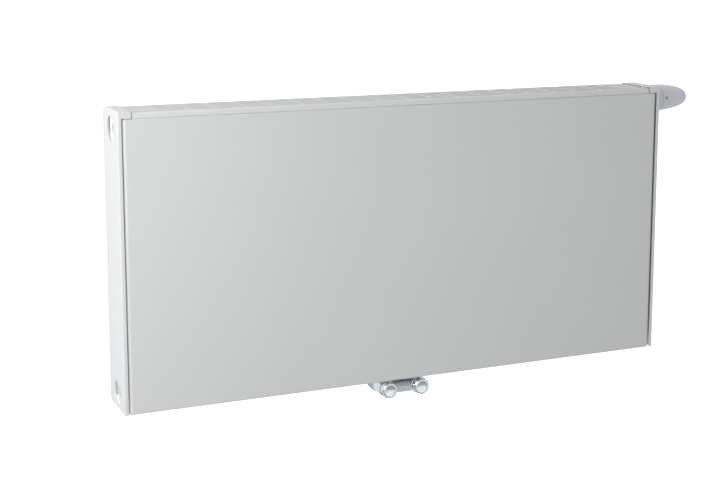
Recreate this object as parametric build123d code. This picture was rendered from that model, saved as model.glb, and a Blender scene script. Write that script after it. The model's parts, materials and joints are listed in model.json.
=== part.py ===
"""Flat-fronted double panel radiator with a centre bottom connection and a thermostatic valve.

Drawn with x along the length and 0 in the middle, y from the front plate's face towards the wall,
and z up from the front plate's bottom edge. Every piece is moved at the end, so that the origin is
in the middle of the four hanging lugs, on their wall side. All sizes are in millimetres.
"""
import os

from build123d import *

# ---- overall ----
COVER_LENGTH = 820.0        # over the two side covers
TOP_Z = 400.0               # top of the side covers
DEPTH = 82.0                # plate face to the wall side of the side covers
TAPPING_Y = 40.0            # middle of the gap between the two water panels
TAPPING_X = 372.0           # corner connectors
TAPPING_LOW_Z = 20.0
TAPPING_HIGH_Z = 374.0
CENTRE_SPACING = 50.0       # between flow and return

# ---- front plate ----
PLATE_LENGTH = 808.0
PLATE_HEIGHT = 390.0
PLATE_SHEET = 1.5
PLATE_RETURN = 8.5
PLATE_END_RADIUS = 6.0
PLATE_EDGE_RADIUS = 2.5
STRIP_XS = (-300.0, 0.0, 300.0)
STRIP_ZS = (95.0, 295.0)
STRIP_LENGTH = 60.0
STRIP_SHEET = 1.2

# ---- water panels ----
PANEL_LENGTH = 796.0
PANEL_LOW_Z = 4.0
PANEL_HIGH_Z = 390.0
PANEL_THICKNESS = 10.5
PANEL_SHEET = 1.2
FRONT_PANEL_Y = 10.0
REAR_PANEL_Y = 59.5
CHANNEL_PITCH = 33.2
CHANNEL_COUNT = 23
HEADER_HALF = 12.5          # half the height of the header channels
SEAM_ISLAND = 12.0          # width of the welded strip between two channels
PRESS_TAPER = 30.0
HEADER_END = 5.0             # the headers reach this far past the outer channels

# ---- convector ----
FIN_SHEET = 0.6
FIN_DEPTH = 20.0
FIN_LOW_Z = 52.0
FIN_HIGH_Z = 342.0
FIN_GROUPS = ((0, 10), (13, 23))
FIN_FOLD = ((-9.0, 0.0), (3.0, 0.0), (6.0, 1.0), (20.0, 1.0))

# ---- top grille ----
GRILLE_Z = 397.9
GRILLE_SHEET = 1.0
GRILLE_FRONT_Y = 0.8
GRILLE_REAR_Y = 80.0
GRILLE_HALF_LENGTH = 390.6
GRILLE_SLOT_ROWS = 6
GRILLE_SLOT_COLUMNS = 10
GRILLE_SLOT_WIDTH = 5.6
GRILLE_FRONT_LOW_Z = 390.2
GRILLE_REAR_LOW_Z = 383.0
GRILLE_BORDER = 5.0
GRILLE_SLOT_GAP = 6.0
GRILLE_EDGE_RADIUS = 2.5
GRILLE_CLIP_XS = (-250.0, 250.0)
GRILLE_CLIP_LENGTH = 16.0
GRILLE_CLIP_HALF = 3.4       # half its thickness
GRILLE_CLIP_GRIP = 4.0       # how far it reaches down over the seam

# ---- side covers ----
COVER_SHEET = 1.2
COVER_CAP_WIDTH = 18.0
COVER_FLANGE_WIDTH = 5.2
COVER_CAP_LOW_Z = 390.5
COVER_TOP_RADIUS = 14.0
COVER_FOOT_RADIUS = 8.0
COVER_HOLE_RADIUS = 16.5
COVER_HEAD_HOLE_RADIUS = 18.5
COVER_HOLE_RIM = 3.0
COVER_EDGE_RADIUS = 1.8
COVER_FRONT_RETURN = 3.0     # how far the front flange reaches towards the wall
COVER_SIDE_RETURN = 10.0     # width of the flat side's folded border, beside the cap
COVER_CAP_SIDE_Z = 372.0     # the cap's side return reaches down to here
FOOT_NOTCH = (29.0, 37.0)
FOOT_NOTCH_TOP_Z = 5.0
FOOT_NOTCH_RADIUS = 3.5
COVER_CLIP_LENGTH = 9.0
COVER_CLIP_GRIP = 5.0
COVER_CLIP_HALF = (4.0, 12.0)
COVER_CLIP_ZS = (110.0, 290.0)

# ---- pipe threads, as plain diameters ----
HALF_INCH_BORE_RADIUS = 9.32
HALF_INCH_DEPTH = 15.0
HALF_INCH_PLUG_RADIUS = HALF_INCH_BORE_RADIUS - 0.05
LEAD_IN = 1.4
SEAL = 1.2                  # thickness of the flat seals
SEAL_RADIUS = 12.2
SEAL_BORE_RADIUS = 9.3
NECK_UNDER_SEAL = 9.2
THREE_QUARTER_RADIUS = 13.2
HEAD_THREAD_RADIUS = 14.9

# ---- thermostatic head, along x ----
HEAD_Z = 378.5              # a little above the header, so that the head clears the cover's top by 1.5
HEAD_START_X = 411.5
HEAD_SPLIT_X = 431.0
HEAD_TIP_X = 483.0
HEAD_RADIUS = 20.0
VALVE_HALF_STROKE = 1.25

# ---- shut-off block ----
BLOCK_Z = -18.0
BARREL_RADIUS = 12.5
BARREL_FRONT_Y = 20.0
OUTLET_END_Y = 64.0
OUTLET_THREAD = 12.0
OUTLET_BORE_RADIUS = 8.0
BALL_RADIUS = 9.2
CAVITY_RADIUS = 9.6
CAP_FRONT_Y = 10.0
CAP_FLATS = 22.0
CAP_LENGTH = 9.6
CAP_FACE_STEP = 0.8          # the face's edge is this far inside the flats
CAP_CORNER = 0.9             # the hexagon's corners are turned down to this far outside the flats

# ---- union at the shut-off block ----
NIPPLE_LOW_Z = 12.5
GASKET = 1.2
COLLAR = 3.0
NUT_FLATS = 30.0
NUT_CLEARANCE = 0.05
GASKET_RADIUS = 12.0
NUT_LOW_Z = 4.8
NUT_HIGH_Z = 18.0

# ---- hanging lugs ----
LUG_XS = (-300.0, 300.0)
LUG_LOW_Z = 65.0
LUG_HIGH_Z = 335.0
LUG_WIDTH = 40.0
LUG_HEIGHT = 50.0
LUG_SHEET = 2.5
LUG_WALL_Y = DEPTH
LUG_THROAT = 18.0
LUG_THROAT_TOP = 8.0

RUNNING = 0.06              # radial clearance of shafts in their guides
FREE = 0.35                 # radial clearance between parts that pass each other

ORIGIN_SHIFT = (0, -LUG_WALL_Y, -(LUG_LOW_Z + LUG_HIGH_Z) / 2)


# ---- drawing helpers ----
def block(low, high):
    """Box between two corners."""
    sizes = [b - a for a, b in zip(low, high)]
    return Pos(*low) * Box(*sizes, align=(Align.MIN, Align.MIN, Align.MIN))


def rod(start, end, radius):
    """Cylinder from one point to another."""
    run = Vector(*end) - Vector(*start)
    return extrude(Plane(origin=start, z_dir=run) * Circle(radius), run.length)


def tube(start, end, outer, inner):
    return rod(start, end, outer) - rod(start, end, inner)


def hexagon(start, end, flats, turn=0.0):
    """Hexagonal bar; turn is the rotation about its own axis."""
    run = Vector(*end) - Vector(*start)
    section = RegularPolygon(radius=flats / 2, side_count=6, major_radius=False, rotation=turn)
    return extrude(Plane(origin=start, z_dir=run) * section, run.length)


def turned(points, origin, axis):
    """Solid of revolution from (distance along the axis, radius) points."""
    profile = make_face(Polyline(*[(radius, along) for along, radius in points], close=True))
    plane = Plane(origin=origin, z_dir=axis)
    section = Plane(origin=origin, x_dir=plane.x_dir, z_dir=-plane.y_dir) * profile
    return revolve(section, Axis(origin, axis))


def both_ends(piece):
    """The piece and its mirror image at the other end of the radiator."""
    return piece + mirror(piece, Plane.YZ)


def group(pieces):
    return Compound(children=[solid for piece in pieces for solid in piece.solids()])


def side_profile(points):
    """Face in the y-z plane from (y, z) points."""
    return make_face(Polyline(*[(0, y, z) for y, z in points], close=True))


# ---- front plate ----
def rounded_tray(inset, back_y):
    """Plate-shaped block: large radius down both ends, small radius along top and bottom."""
    half = PLATE_LENGTH / 2 - inset
    plan = make_face(Polyline((-half, inset), (half, inset), (half, back_y), (-half, back_y), close=True))
    plan_body = extrude(Pos(0, 0, inset) * plan, PLATE_HEIGHT - 2 * inset)
    ends = plan_body.edges().filter_by(Axis.Z).group_by(Axis.Y)[0]
    plan_body = fillet(ends, PLATE_END_RADIUS - inset)
    low, high = inset, PLATE_HEIGHT - inset
    side = side_profile([(inset, low), (back_y, low), (back_y, high), (inset, high)])
    side_body = extrude(Pos(-half, 0, 0) * side, 2 * half, dir=(1, 0, 0))
    rims = side_body.edges().filter_by(Axis.X).group_by(Axis.Y)[0]
    side_body = fillet(rims, PLATE_EDGE_RADIUS - inset)
    return plan_body & side_body


def front_plate():
    return rounded_tray(0, PLATE_RETURN) - rounded_tray(PLATE_SHEET, PLATE_RETURN + 1)


def front_plate_brackets():
    """Six channel strips between the plate and the front water panel."""
    strips = []
    half = STRIP_LENGTH / 2
    for x in STRIP_XS:
        for z in STRIP_ZS:
            strip = block((x - half, PLATE_SHEET, z - 12), (x + half, FRONT_PANEL_Y, z + 12))
            low = (x - half, PLATE_SHEET + STRIP_SHEET, z - 8)
            strips.append(strip - block(low, (x + half, FRONT_PANEL_Y - STRIP_SHEET, z + 8)))
    return group(strips)


# ---- water panels ----
def waterway_outline(inset):
    """Header and channel outline about the panel's middle, with the welded islands left out."""
    mid_z = (TAPPING_LOW_Z + TAPPING_HIGH_Z) / 2
    reach = TAPPING_HIGH_Z - mid_z
    width = CHANNEL_COUNT * CHANNEL_PITCH + 2 * HEADER_END - 2 * inset
    outline = RectangleRounded(width, 2 * (reach + HEADER_HALF - inset), 9)
    island = RectangleRounded(SEAM_ISLAND + 2 * inset, 2 * (reach - HEADER_HALF + inset), 5)
    first = -CHANNEL_PITCH * (CHANNEL_COUNT - 2) / 2
    islands = [Pos(first + i * CHANNEL_PITCH, 0) * island for i in range(CHANNEL_COUNT - 1)]
    return outline - islands


def pressed_sheet(seam_y, towards):
    """One pressed half of a water panel; towards is -1 for the half on the plate's side."""
    mid_z = (TAPPING_LOW_Z + TAPPING_HIGH_Z) / 2
    plane = Plane(origin=(0, seam_y, mid_z), x_dir=(1, 0, 0), z_dir=(0, towards, 0))
    rise = PANEL_THICKNESS / 2
    ways = extrude(plane * waterway_outline(0), rise, taper=PRESS_TAPER)
    hollow = extrude(plane * waterway_outline(PANEL_SHEET), rise - PANEL_SHEET, taper=PRESS_TAPER)
    near, far = sorted((seam_y, seam_y + towards * PANEL_SHEET))
    half = PANEL_LENGTH / 2
    flat = block((-half, near, PANEL_LOW_Z), (half, far, PANEL_HIGH_Z))
    return flat + ways - hollow


def panel_halves(panel_y):
    seam_y = panel_y + PANEL_THICKNESS / 2
    return pressed_sheet(seam_y, -1), pressed_sheet(seam_y, 1)


def with_ports(sheet, ports, radius):
    """Water ports cut through a sheet where a connector's cross tube meets it."""
    for x, z in ports:
        sheet -= rod((x, 0, z), (x, DEPTH, z), radius)
    return sheet


# ---- convector ----
def convector():
    """Folded sheet behind the front panel, in two lengths that leave room for the flow pipe."""
    base_y = FRONT_PANEL_Y + PANEL_THICKNESS + FIN_SHEET / 2
    folds = []
    for first, last in FIN_GROUPS:
        points = []
        for i in range(first, last):
            middle = (i - (CHANNEL_COUNT - 1) / 2) * CHANNEL_PITCH
            points += [(middle + x, base_y + rise * FIN_DEPTH) for x, rise in FIN_FOLD]
        points.append((points[-1][0] + FIN_FOLD[1][0], base_y))
        section = trace(Polyline(*points), line_width=FIN_SHEET)
        folds.append(extrude(Pos(0, 0, FIN_LOW_Z) * section, FIN_HIGH_Z - FIN_LOW_Z))
    return group(folds)


# ---- connectors between the panels ----
GAP_FRONT_Y = FRONT_PANEL_Y + PANEL_THICKNESS
GAP_REAR_Y = REAR_PANEL_Y
CROSS_RADIUS = 11.0
CROSS_BORE_RADIUS = 7.5
HUB_BORE_RADIUS = 6.5


def cross_tube(x, z):
    return rod((x, GAP_FRONT_Y, z), (x, GAP_REAR_Y, z), CROSS_RADIUS)


def cross_bore(x, z):
    return rod((x, GAP_FRONT_Y, z), (x, GAP_REAR_Y, z), CROSS_BORE_RADIUS)


def side_hub(x, face_x, z, radius):
    """Cross tube with a hub towards the end of the radiator."""
    start = (x, TAPPING_Y, z)
    return cross_tube(x, z) + rod(start, (face_x, TAPPING_Y, z), radius)


def threaded_recess(mouth, inward, depth):
    """Tapped half-inch hole with a lead-in chamfer, as a solid to cut away."""
    core = HALF_INCH_BORE_RADIUS
    points = [(0, core + LEAD_IN), (LEAD_IN, core), (depth, core)]
    return turned([(0, 0), *points, (depth, 0)], mouth, inward)


LOW_HUB_FACE_X = 406.5
LOW_HUB_RADIUS = 15.2
HIGH_HUB_FACE_X = 400.0
HIGH_HUB_RADIUS = 13.5
SOCKET_MOUTH_Z = 5.5
SOCKET_RADIUS = 13.0
SOCKET_TOP_Z = TAPPING_LOW_Z + 14
SOCKET_DEPTH = 12.0
SOCKET_WAY_RADIUS = 5.0
LINK_Z = TAPPING_LOW_Z + 6
LINK_RADIUS = 11.0
LINK_BORE_RADIUS = 6.0


def low_connector():
    """Right-hand low connector: a hub through the side and two sockets facing down."""
    z = TAPPING_LOW_Z
    inner_x = TAPPING_X - CENTRE_SPACING
    link = [(inner_x, TAPPING_Y, LINK_Z), (TAPPING_X, TAPPING_Y, LINK_Z)]
    body = side_hub(TAPPING_X, LOW_HUB_FACE_X, z, LOW_HUB_RADIUS) + rod(*link, LINK_RADIUS)
    sockets = [(x, TAPPING_Y, SOCKET_MOUTH_Z) for x in (inner_x, TAPPING_X)]
    for x, y, mouth_z in sockets:
        body += rod((x, y, mouth_z), (x, y, SOCKET_TOP_Z), SOCKET_RADIUS)
    flat_end_x = TAPPING_X + SOCKET_RADIUS + 1
    body -= block((TAPPING_X - SOCKET_RADIUS - 1, 0, 0), (flat_end_x, DEPTH, SOCKET_MOUTH_Z))
    body -= cross_bore(TAPPING_X, z)
    body -= rod(*link, LINK_BORE_RADIUS)
    body -= threaded_recess((LOW_HUB_FACE_X, TAPPING_Y, z), (-1, 0, 0), HALF_INCH_DEPTH)
    body -= rod((TAPPING_X, TAPPING_Y, z), (LOW_HUB_FACE_X, TAPPING_Y, z), HUB_BORE_RADIUS)
    for x, y, mouth_z in sockets:
        body -= threaded_recess((x, y, mouth_z), (0, 0, 1), SOCKET_DEPTH)
        body -= rod((x, y, mouth_z), (x, y, z), SOCKET_WAY_RADIUS)
    return body


def vent_tee():
    """Top left connector with a tapped hub for the air vent."""
    z = TAPPING_HIGH_Z
    body = side_hub(-TAPPING_X, -HIGH_HUB_FACE_X, z, HIGH_HUB_RADIUS)
    body -= cross_bore(-TAPPING_X, z)
    body -= threaded_recess((-HIGH_HUB_FACE_X, TAPPING_Y, z), (1, 0, 0), HALF_INCH_DEPTH)
    return body - rod((-TAPPING_X, TAPPING_Y, z), (-HIGH_HUB_FACE_X, TAPPING_Y, z), HUB_BORE_RADIUS)


VALVE_TEE_START_X = 352.0
VALVE_TEE_FACE_X = 396.0
SEAT_X = 366.0
SEAT_THICKNESS = 2.5
SEAT_BORE_RADIUS = 4.8
PIPE_RADIUS = 7.5
PIPE_BORE_RADIUS = 6.5
PIPE_BEND_RADIUS = 28.0
PIPE_SOCKET = 8.0
VALVE_TEE_RADIUS = 14.0
VALVE_CROSS_X = 377.0


def valve_tee():
    """Top right connector: flow chamber, seat, valve chamber and the bore for the insert."""
    z = HEAD_Z
    along = [(VALVE_TEE_START_X, TAPPING_Y, z), (VALVE_TEE_FACE_X, TAPPING_Y, z)]
    body = rod(*along, VALVE_TEE_RADIUS) + cross_tube(VALVE_CROSS_X, TAPPING_HIGH_Z)
    pipe_end_x = VALVE_TEE_START_X + PIPE_SOCKET
    body -= rod(along[0], (pipe_end_x, TAPPING_Y, z), PIPE_RADIUS)
    body -= rod((pipe_end_x, TAPPING_Y, z), (SEAT_X, TAPPING_Y, z), PIPE_BORE_RADIUS)
    body -= rod((SEAT_X, TAPPING_Y, z), (SEAT_X + SEAT_THICKNESS, TAPPING_Y, z), SEAT_BORE_RADIUS)
    body -= rod((SEAT_X + SEAT_THICKNESS, TAPPING_Y, z), along[1], HALF_INCH_BORE_RADIUS)
    return body - cross_bore(VALVE_CROSS_X, TAPPING_HIGH_Z)


FLOW_X = -CENTRE_SPACING / 2
RETURN_X = CENTRE_SPACING / 2
NIPPLE_HIGH_Z = 46.0
NIPPLE_THREAD_TOP_Z = 20.5
NIPPLE_NECK_RADIUS = 12.0
STAY_Z = 36.0
STAY_RADIUS = 6.0


def nipple(x):
    """Threaded stub facing down."""
    thread = rod((x, TAPPING_Y, NIPPLE_LOW_Z), (x, TAPPING_Y, NIPPLE_THREAD_TOP_Z), THREE_QUARTER_RADIUS)
    return thread + rod((x, TAPPING_Y, NIPPLE_LOW_Z), (x, TAPPING_Y, NIPPLE_HIGH_Z), NIPPLE_NECK_RADIUS)


def flow_nipple():
    """Stub for the flow side; the flow pipe stands in its top, and two stays hold it to the panels."""
    body = nipple(FLOW_X) + rod((FLOW_X, GAP_FRONT_Y, STAY_Z), (FLOW_X, GAP_REAR_Y, STAY_Z), STAY_RADIUS)
    body -= rod((FLOW_X, TAPPING_Y, NIPPLE_LOW_Z), (FLOW_X, TAPPING_Y, NIPPLE_HIGH_Z), PIPE_BORE_RADIUS)
    socket_z = NIPPLE_HIGH_Z - PIPE_SOCKET
    return body - rod((FLOW_X, TAPPING_Y, socket_z), (FLOW_X, TAPPING_Y, NIPPLE_HIGH_Z), PIPE_RADIUS)


RETURN_CROSS_Z = 27.0
RETURN_CROSS_RADIUS = 8.0
RETURN_CROSS_BORE = 5.5


def return_tee():
    """Stub for the return side, with a cross tube into the low headers of both panels."""
    body = nipple(RETURN_X)
    across = [(RETURN_X, GAP_FRONT_Y, RETURN_CROSS_Z), (RETURN_X, GAP_REAR_Y, RETURN_CROSS_Z)]
    body += rod(*across, RETURN_CROSS_RADIUS)
    body -= rod(*across, RETURN_CROSS_BORE)
    blind_z = NIPPLE_HIGH_Z - PIPE_SOCKET
    return body - rod((RETURN_X, TAPPING_Y, NIPPLE_LOW_Z), (RETURN_X, TAPPING_Y, blind_z), PIPE_BORE_RADIUS)


def flow_pipe():
    """Pipe from the flow stub up between the panels and along to the valve chamber."""
    low = (FLOW_X, TAPPING_Y, NIPPLE_HIGH_Z - PIPE_SOCKET)
    corner = (FLOW_X, TAPPING_Y, HEAD_Z)
    end = (VALVE_TEE_START_X + PIPE_SOCKET, TAPPING_Y, HEAD_Z)
    path = FilletPolyline(low, corner, end, radius=PIPE_BEND_RADIUS)
    section = Plane(origin=low, z_dir=(0, 0, 1)) * (Circle(PIPE_RADIUS) - Circle(PIPE_BORE_RADIUS))
    return sweep(section, path)


# ---- plugs and air vent ----
PLUG_THREAD = 9.0
PLUG_FLANGE = 2.8
PLUG_FLANGE_RADIUS = 12.5
PLUG_KEY_FLATS = 10.0
PLUG_KEY_DEPTH = 7.0
SOCKET_XS = [side * (TAPPING_X - step) for side in (-1, 1) for step in (0, CENTRE_SPACING)]


def blind_plug(x):
    """Screwed plug with a hexagon socket, closing a socket that faces down."""
    mouth = SOCKET_MOUTH_Z
    low_z = mouth - SEAL - PLUG_FLANGE
    thread = rod((x, TAPPING_Y, mouth), (x, TAPPING_Y, mouth + PLUG_THREAD), HALF_INCH_PLUG_RADIUS)
    flange = rod((x, TAPPING_Y, low_z), (x, TAPPING_Y, mouth - SEAL), PLUG_FLANGE_RADIUS)
    neck = rod((x, TAPPING_Y, mouth - SEAL), (x, TAPPING_Y, mouth), NECK_UNDER_SEAL)
    key = hexagon((x, TAPPING_Y, low_z), (x, TAPPING_Y, low_z + PLUG_KEY_DEPTH), PLUG_KEY_FLATS)
    return thread + neck + flange - key


def plug_seal(x):
    mouth = SOCKET_MOUTH_Z
    return tube((x, TAPPING_Y, mouth - SEAL), (x, TAPPING_Y, mouth), SEAL_RADIUS, SEAL_BORE_RADIUS)


VENT_FLANGE = 3.0
VENT_FLANGE_RADIUS = 12.8
VENT_THREAD = 10.0
VENT_SCREW_RADIUS = 3.2
VENT_SCREW_DEPTH = 7.0
VENT_WAY_RADIUS = 1.0
VENT_KEY = 4.4
VENT_KEY_LENGTH = 3.0


def vent_point(step):
    """Point on the vent's axis, step mm outwards from the hub's face."""
    return (-HIGH_HUB_FACE_X - step, TAPPING_Y, TAPPING_HIGH_Z)


def air_vent_plug():
    """Brass vent plug in the top left hub, bored for the vent screw."""
    body = rod(vent_point(-VENT_THREAD), vent_point(0), HALF_INCH_PLUG_RADIUS)
    body += rod(vent_point(0), vent_point(SEAL), NECK_UNDER_SEAL)
    body += rod(vent_point(SEAL), vent_point(SEAL + VENT_FLANGE), VENT_FLANGE_RADIUS)
    body -= rod(vent_point(-VENT_SCREW_DEPTH), vent_point(SEAL + VENT_FLANGE), VENT_SCREW_RADIUS + RUNNING)
    return body - rod(vent_point(-VENT_THREAD), vent_point(-VENT_SCREW_DEPTH), VENT_WAY_RADIUS)


def air_vent_seal():
    return tube(vent_point(0), vent_point(SEAL), SEAL_RADIUS, SEAL_BORE_RADIUS)


def vent_screw():
    """Needle screw with a square key end."""
    face = SEAL + VENT_FLANGE - 1
    shank = rod(vent_point(FREE - VENT_SCREW_DEPTH), vent_point(face), VENT_SCREW_RADIUS)
    x, y, z = vent_point(face + VENT_KEY_LENGTH)
    half = VENT_KEY / 2
    key = block((x, y - half, z - half), (x + VENT_KEY_LENGTH, y + half, z + half))
    return shank + key


# ---- valve insert ----
INSERT_FLANGE_X = VALVE_TEE_FACE_X
INSERT_START_X = 379.0
INSERT_THREAD_X = 384.0
INSERT_END_X = 408.0
INSERT_NOSE_RADIUS = 8.6
SPINDLE_RADIUS = 2.5
SPRING_CHAMBER_RADIUS = 6.6
SPRING_CHAMBER_END_X = 398.0
SPRING_SEAT_X = 381.0
SPRING_COLLAR_X = 393.0
SPRING_COLLAR_RADIUS = 5.6
SPRING_COLLAR = 2.0
SPRING_TURNS = 5
SPRING_WIRE_RADIUS = 0.45
SPRING_RADIUS = 4.7
DISC_RADIUS = 6.5
DISC = 3.0
DISC_CUP_RADIUS = 6.0
DISC_CUP = 1.2
DISC_X = SEAT_X + SEAT_THICKNESS + VALVE_HALF_STROKE + FREE
PIN_END_X = 414.0


def on_head_axis(x):
    """Point on the common axis of the valve and the head."""
    return (x, TAPPING_Y, HEAD_Z)


def turned_about_head(points):
    return turned(points, on_head_axis(0), (1, 0, 0))


def valve_insert():
    """Brass insert: carries the spindle, the return spring and the thread for the head."""
    flange_end_x = INSERT_FLANGE_X + SEAL
    points = [(INSERT_START_X, 0), (INSERT_START_X, INSERT_NOSE_RADIUS)]
    points += [(INSERT_THREAD_X, INSERT_NOSE_RADIUS)]
    points += [(INSERT_THREAD_X, HALF_INCH_PLUG_RADIUS), (INSERT_FLANGE_X, HALF_INCH_PLUG_RADIUS)]
    points += [(INSERT_FLANGE_X, NECK_UNDER_SEAL), (flange_end_x, NECK_UNDER_SEAL)]
    points += [(flange_end_x, HEAD_THREAD_RADIUS), (INSERT_END_X - 1, HEAD_THREAD_RADIUS)]
    points += [(INSERT_END_X, HEAD_THREAD_RADIUS - 1), (INSERT_END_X, 0)]
    body = turned_about_head(points)
    body -= rod(on_head_axis(INSERT_START_X), on_head_axis(INSERT_END_X), SPINDLE_RADIUS + RUNNING)
    chamber = [on_head_axis(SPRING_SEAT_X), on_head_axis(SPRING_CHAMBER_END_X)]
    return body - rod(*chamber, SPRING_CHAMBER_RADIUS)


def insert_seal():
    ends = [on_head_axis(INSERT_FLANGE_X), on_head_axis(INSERT_FLANGE_X + SEAL)]
    return tube(*ends, SEAL_RADIUS, SEAL_BORE_RADIUS)


def valve_spindle():
    """Stainless spindle with the spring's collar and the cup for the disc."""
    cup_x = DISC_X + DISC
    collar_end_x = SPRING_COLLAR_X + SPRING_COLLAR
    cup_end_x = cup_x + DISC_CUP
    points = [(cup_x, 0), (cup_x, DISC_CUP_RADIUS), (cup_end_x, DISC_CUP_RADIUS)]
    points += [(cup_end_x, SPINDLE_RADIUS)]
    points += [(SPRING_COLLAR_X, SPINDLE_RADIUS), (SPRING_COLLAR_X, SPRING_COLLAR_RADIUS)]
    points += [(collar_end_x, SPRING_COLLAR_RADIUS), (collar_end_x, SPINDLE_RADIUS)]
    points += [(PIN_END_X, SPINDLE_RADIUS), (PIN_END_X, 0)]
    return turned_about_head(points)


def valve_disc():
    return rod(on_head_axis(DISC_X), on_head_axis(DISC_X + DISC), DISC_RADIUS)


def return_spring():
    """Coil spring that opens the valve."""
    start = on_head_axis(SPRING_SEAT_X + SPRING_WIRE_RADIUS)
    length = SPRING_COLLAR_X - SPRING_SEAT_X - 2 * SPRING_WIRE_RADIUS
    coil = Helix(length / SPRING_TURNS, length, SPRING_RADIUS, center=start, direction=(1, 0, 0))
    wire = Plane(origin=coil @ 0, z_dir=coil % 0) * Circle(SPRING_WIRE_RADIUS)
    return sweep(wire, coil, is_frenet=True)


# ---- thermostatic head ----
NECK_RADIUS = 13.6
NECK_BORE_RADIUS = 9.0
NECK_START_X = 408.4
RING_START_X = 398.6
RING_END_X = 411.0
RING_LIP_X = 408.2
RING_RADIUS = 17.4
RING_CLEARANCE = 0.1
GUIDE_RADIUS = 3.0
BASE_WALL_X = 416.0
BASE_WALL = 3.0
SPIGOT_RADIUS = HEAD_RADIUS - 3.4
SPIGOT_WALL = 2.0
SPIGOT_LENGTH = 6.0
SPLIT_GAP = 0.4
DIAL_STATIONS = [(445, 19.2), (459, 17.2), (470, 14.4), (478, 10.6)]
DIAL_TIP_RADIUS = 5.0
DIAL_WALL = 3.4
SENSOR_START_X = 424.0
SENSOR_END_X = 454.0
SENSOR_RADIUS = 10.0
SENSOR_EDGE = 2.0


def head_ring():
    """Union ring that pulls the head onto the insert."""
    body = rod(on_head_axis(RING_START_X), on_head_axis(RING_END_X), RING_RADIUS)
    body -= rod(on_head_axis(RING_START_X), on_head_axis(RING_LIP_X), HEAD_THREAD_RADIUS + RING_CLEARANCE)
    return body - rod(on_head_axis(RING_LIP_X), on_head_axis(RING_END_X), NECK_RADIUS + RING_CLEARANCE)


def head_base():
    """Fixed collar: neck inside the ring, wall with the pin guide, and the spigot for the dial."""
    split_x = HEAD_SPLIT_X - SPLIT_GAP
    spigot_x = HEAD_SPLIT_X + SPIGOT_LENGTH
    wall_x = BASE_WALL_X + BASE_WALL
    inside = SPIGOT_RADIUS - SPIGOT_WALL
    guide = GUIDE_RADIUS + RUNNING
    points = [(NECK_START_X, NECK_BORE_RADIUS), (NECK_START_X, NECK_RADIUS), (HEAD_START_X, NECK_RADIUS)]
    points += [(HEAD_START_X, HEAD_RADIUS - 1.5), (HEAD_START_X + 1.5, HEAD_RADIUS)]
    points += [(split_x - SPLIT_GAP, HEAD_RADIUS), (split_x, HEAD_RADIUS - SPLIT_GAP)]
    points += [(split_x, SPIGOT_RADIUS)]
    points += [(spigot_x, SPIGOT_RADIUS), (spigot_x, inside), (wall_x, inside), (wall_x, guide)]
    points += [(BASE_WALL_X, guide), (BASE_WALL_X, NECK_BORE_RADIUS)]
    return turned_about_head(points)


def dial_solid(inset):
    """Dial profile from the split to the rounded tip, turned about the head's axis."""
    start = (HEAD_SPLIT_X, HEAD_RADIUS - inset)
    tip = (HEAD_TIP_X - inset, DIAL_TIP_RADIUS - inset / 2)
    stations = [(x, radius - inset) for x, radius in DIAL_STATIONS]
    curve = Spline(start, *stations, tip, tangents=[(1, -0.04), (0.12, -1)])
    closing = Polyline(tip, (tip[0], 0), (HEAD_SPLIT_X, 0), start)
    profile = make_face([*curve.edges(), *closing.edges()])
    return revolve(profile, Axis.X).moved(Location(on_head_axis(0)))


def head_dial():
    """Turning cap, which runs on the base's spigot."""
    body = dial_solid(0) - dial_solid(DIAL_WALL)
    recess = [on_head_axis(HEAD_SPLIT_X), on_head_axis(HEAD_SPLIT_X + SPIGOT_LENGTH + SPLIT_GAP)]
    return body - rod(*recess, SPIGOT_RADIUS + RUNNING)


def sensor():
    """Liquid sensor capsule, which the dial moves along its thread."""
    start, end, edge = SENSOR_START_X, SENSOR_END_X, SENSOR_EDGE
    points = [(start, 0), (start, SENSOR_RADIUS - edge), (start + edge, SENSOR_RADIUS)]
    points += [(end - edge, SENSOR_RADIUS), (end, SENSOR_RADIUS - edge), (end, 0)]
    return turned_about_head(points)


def sensor_pin():
    """Push pin between the capsule and the valve spindle."""
    return rod(on_head_axis(PIN_END_X), on_head_axis(SENSOR_START_X), GUIDE_RADIUS)


# ---- shut-off block under the middle ----
BLOCK_COLLAR_Z = NIPPLE_LOW_Z - GASKET
COLLAR_RADIUS = 12.2
STUB_RADIUS = 9.4
STUB_BORE_RADIUS = 5.5
OUTLET_NECK_RADIUS = 11.0
OUTLET_SOCKET = 8.0
OUTLET_WAY_RADIUS = 6.5
BAR_Y = 31.0
BAR_FLATS = 19.0
STEM_RADIUS = 4.0
STEM_FRONT_Y = 16.0
STEM_SLOT = 1.4
STEM_SLOT_DEPTH = 2.5
GLAND_FRONT_Y = 15.0
GLAND_REAR_Y = 29.0
GLAND_THREAD_RADIUS = 7.4
BALL_Y = TAPPING_Y
BALL_WAY_RADIUS = 5.0
BALL_TOP_WAY_RADIUS = 4.5
SEAT_RING = 1.5
CAP_WALL = 3.4
CAP_GAP = 0.4
CAP_CHAMFER = 1.6
CAP_SEAL_RADIUS = 7.2


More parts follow.
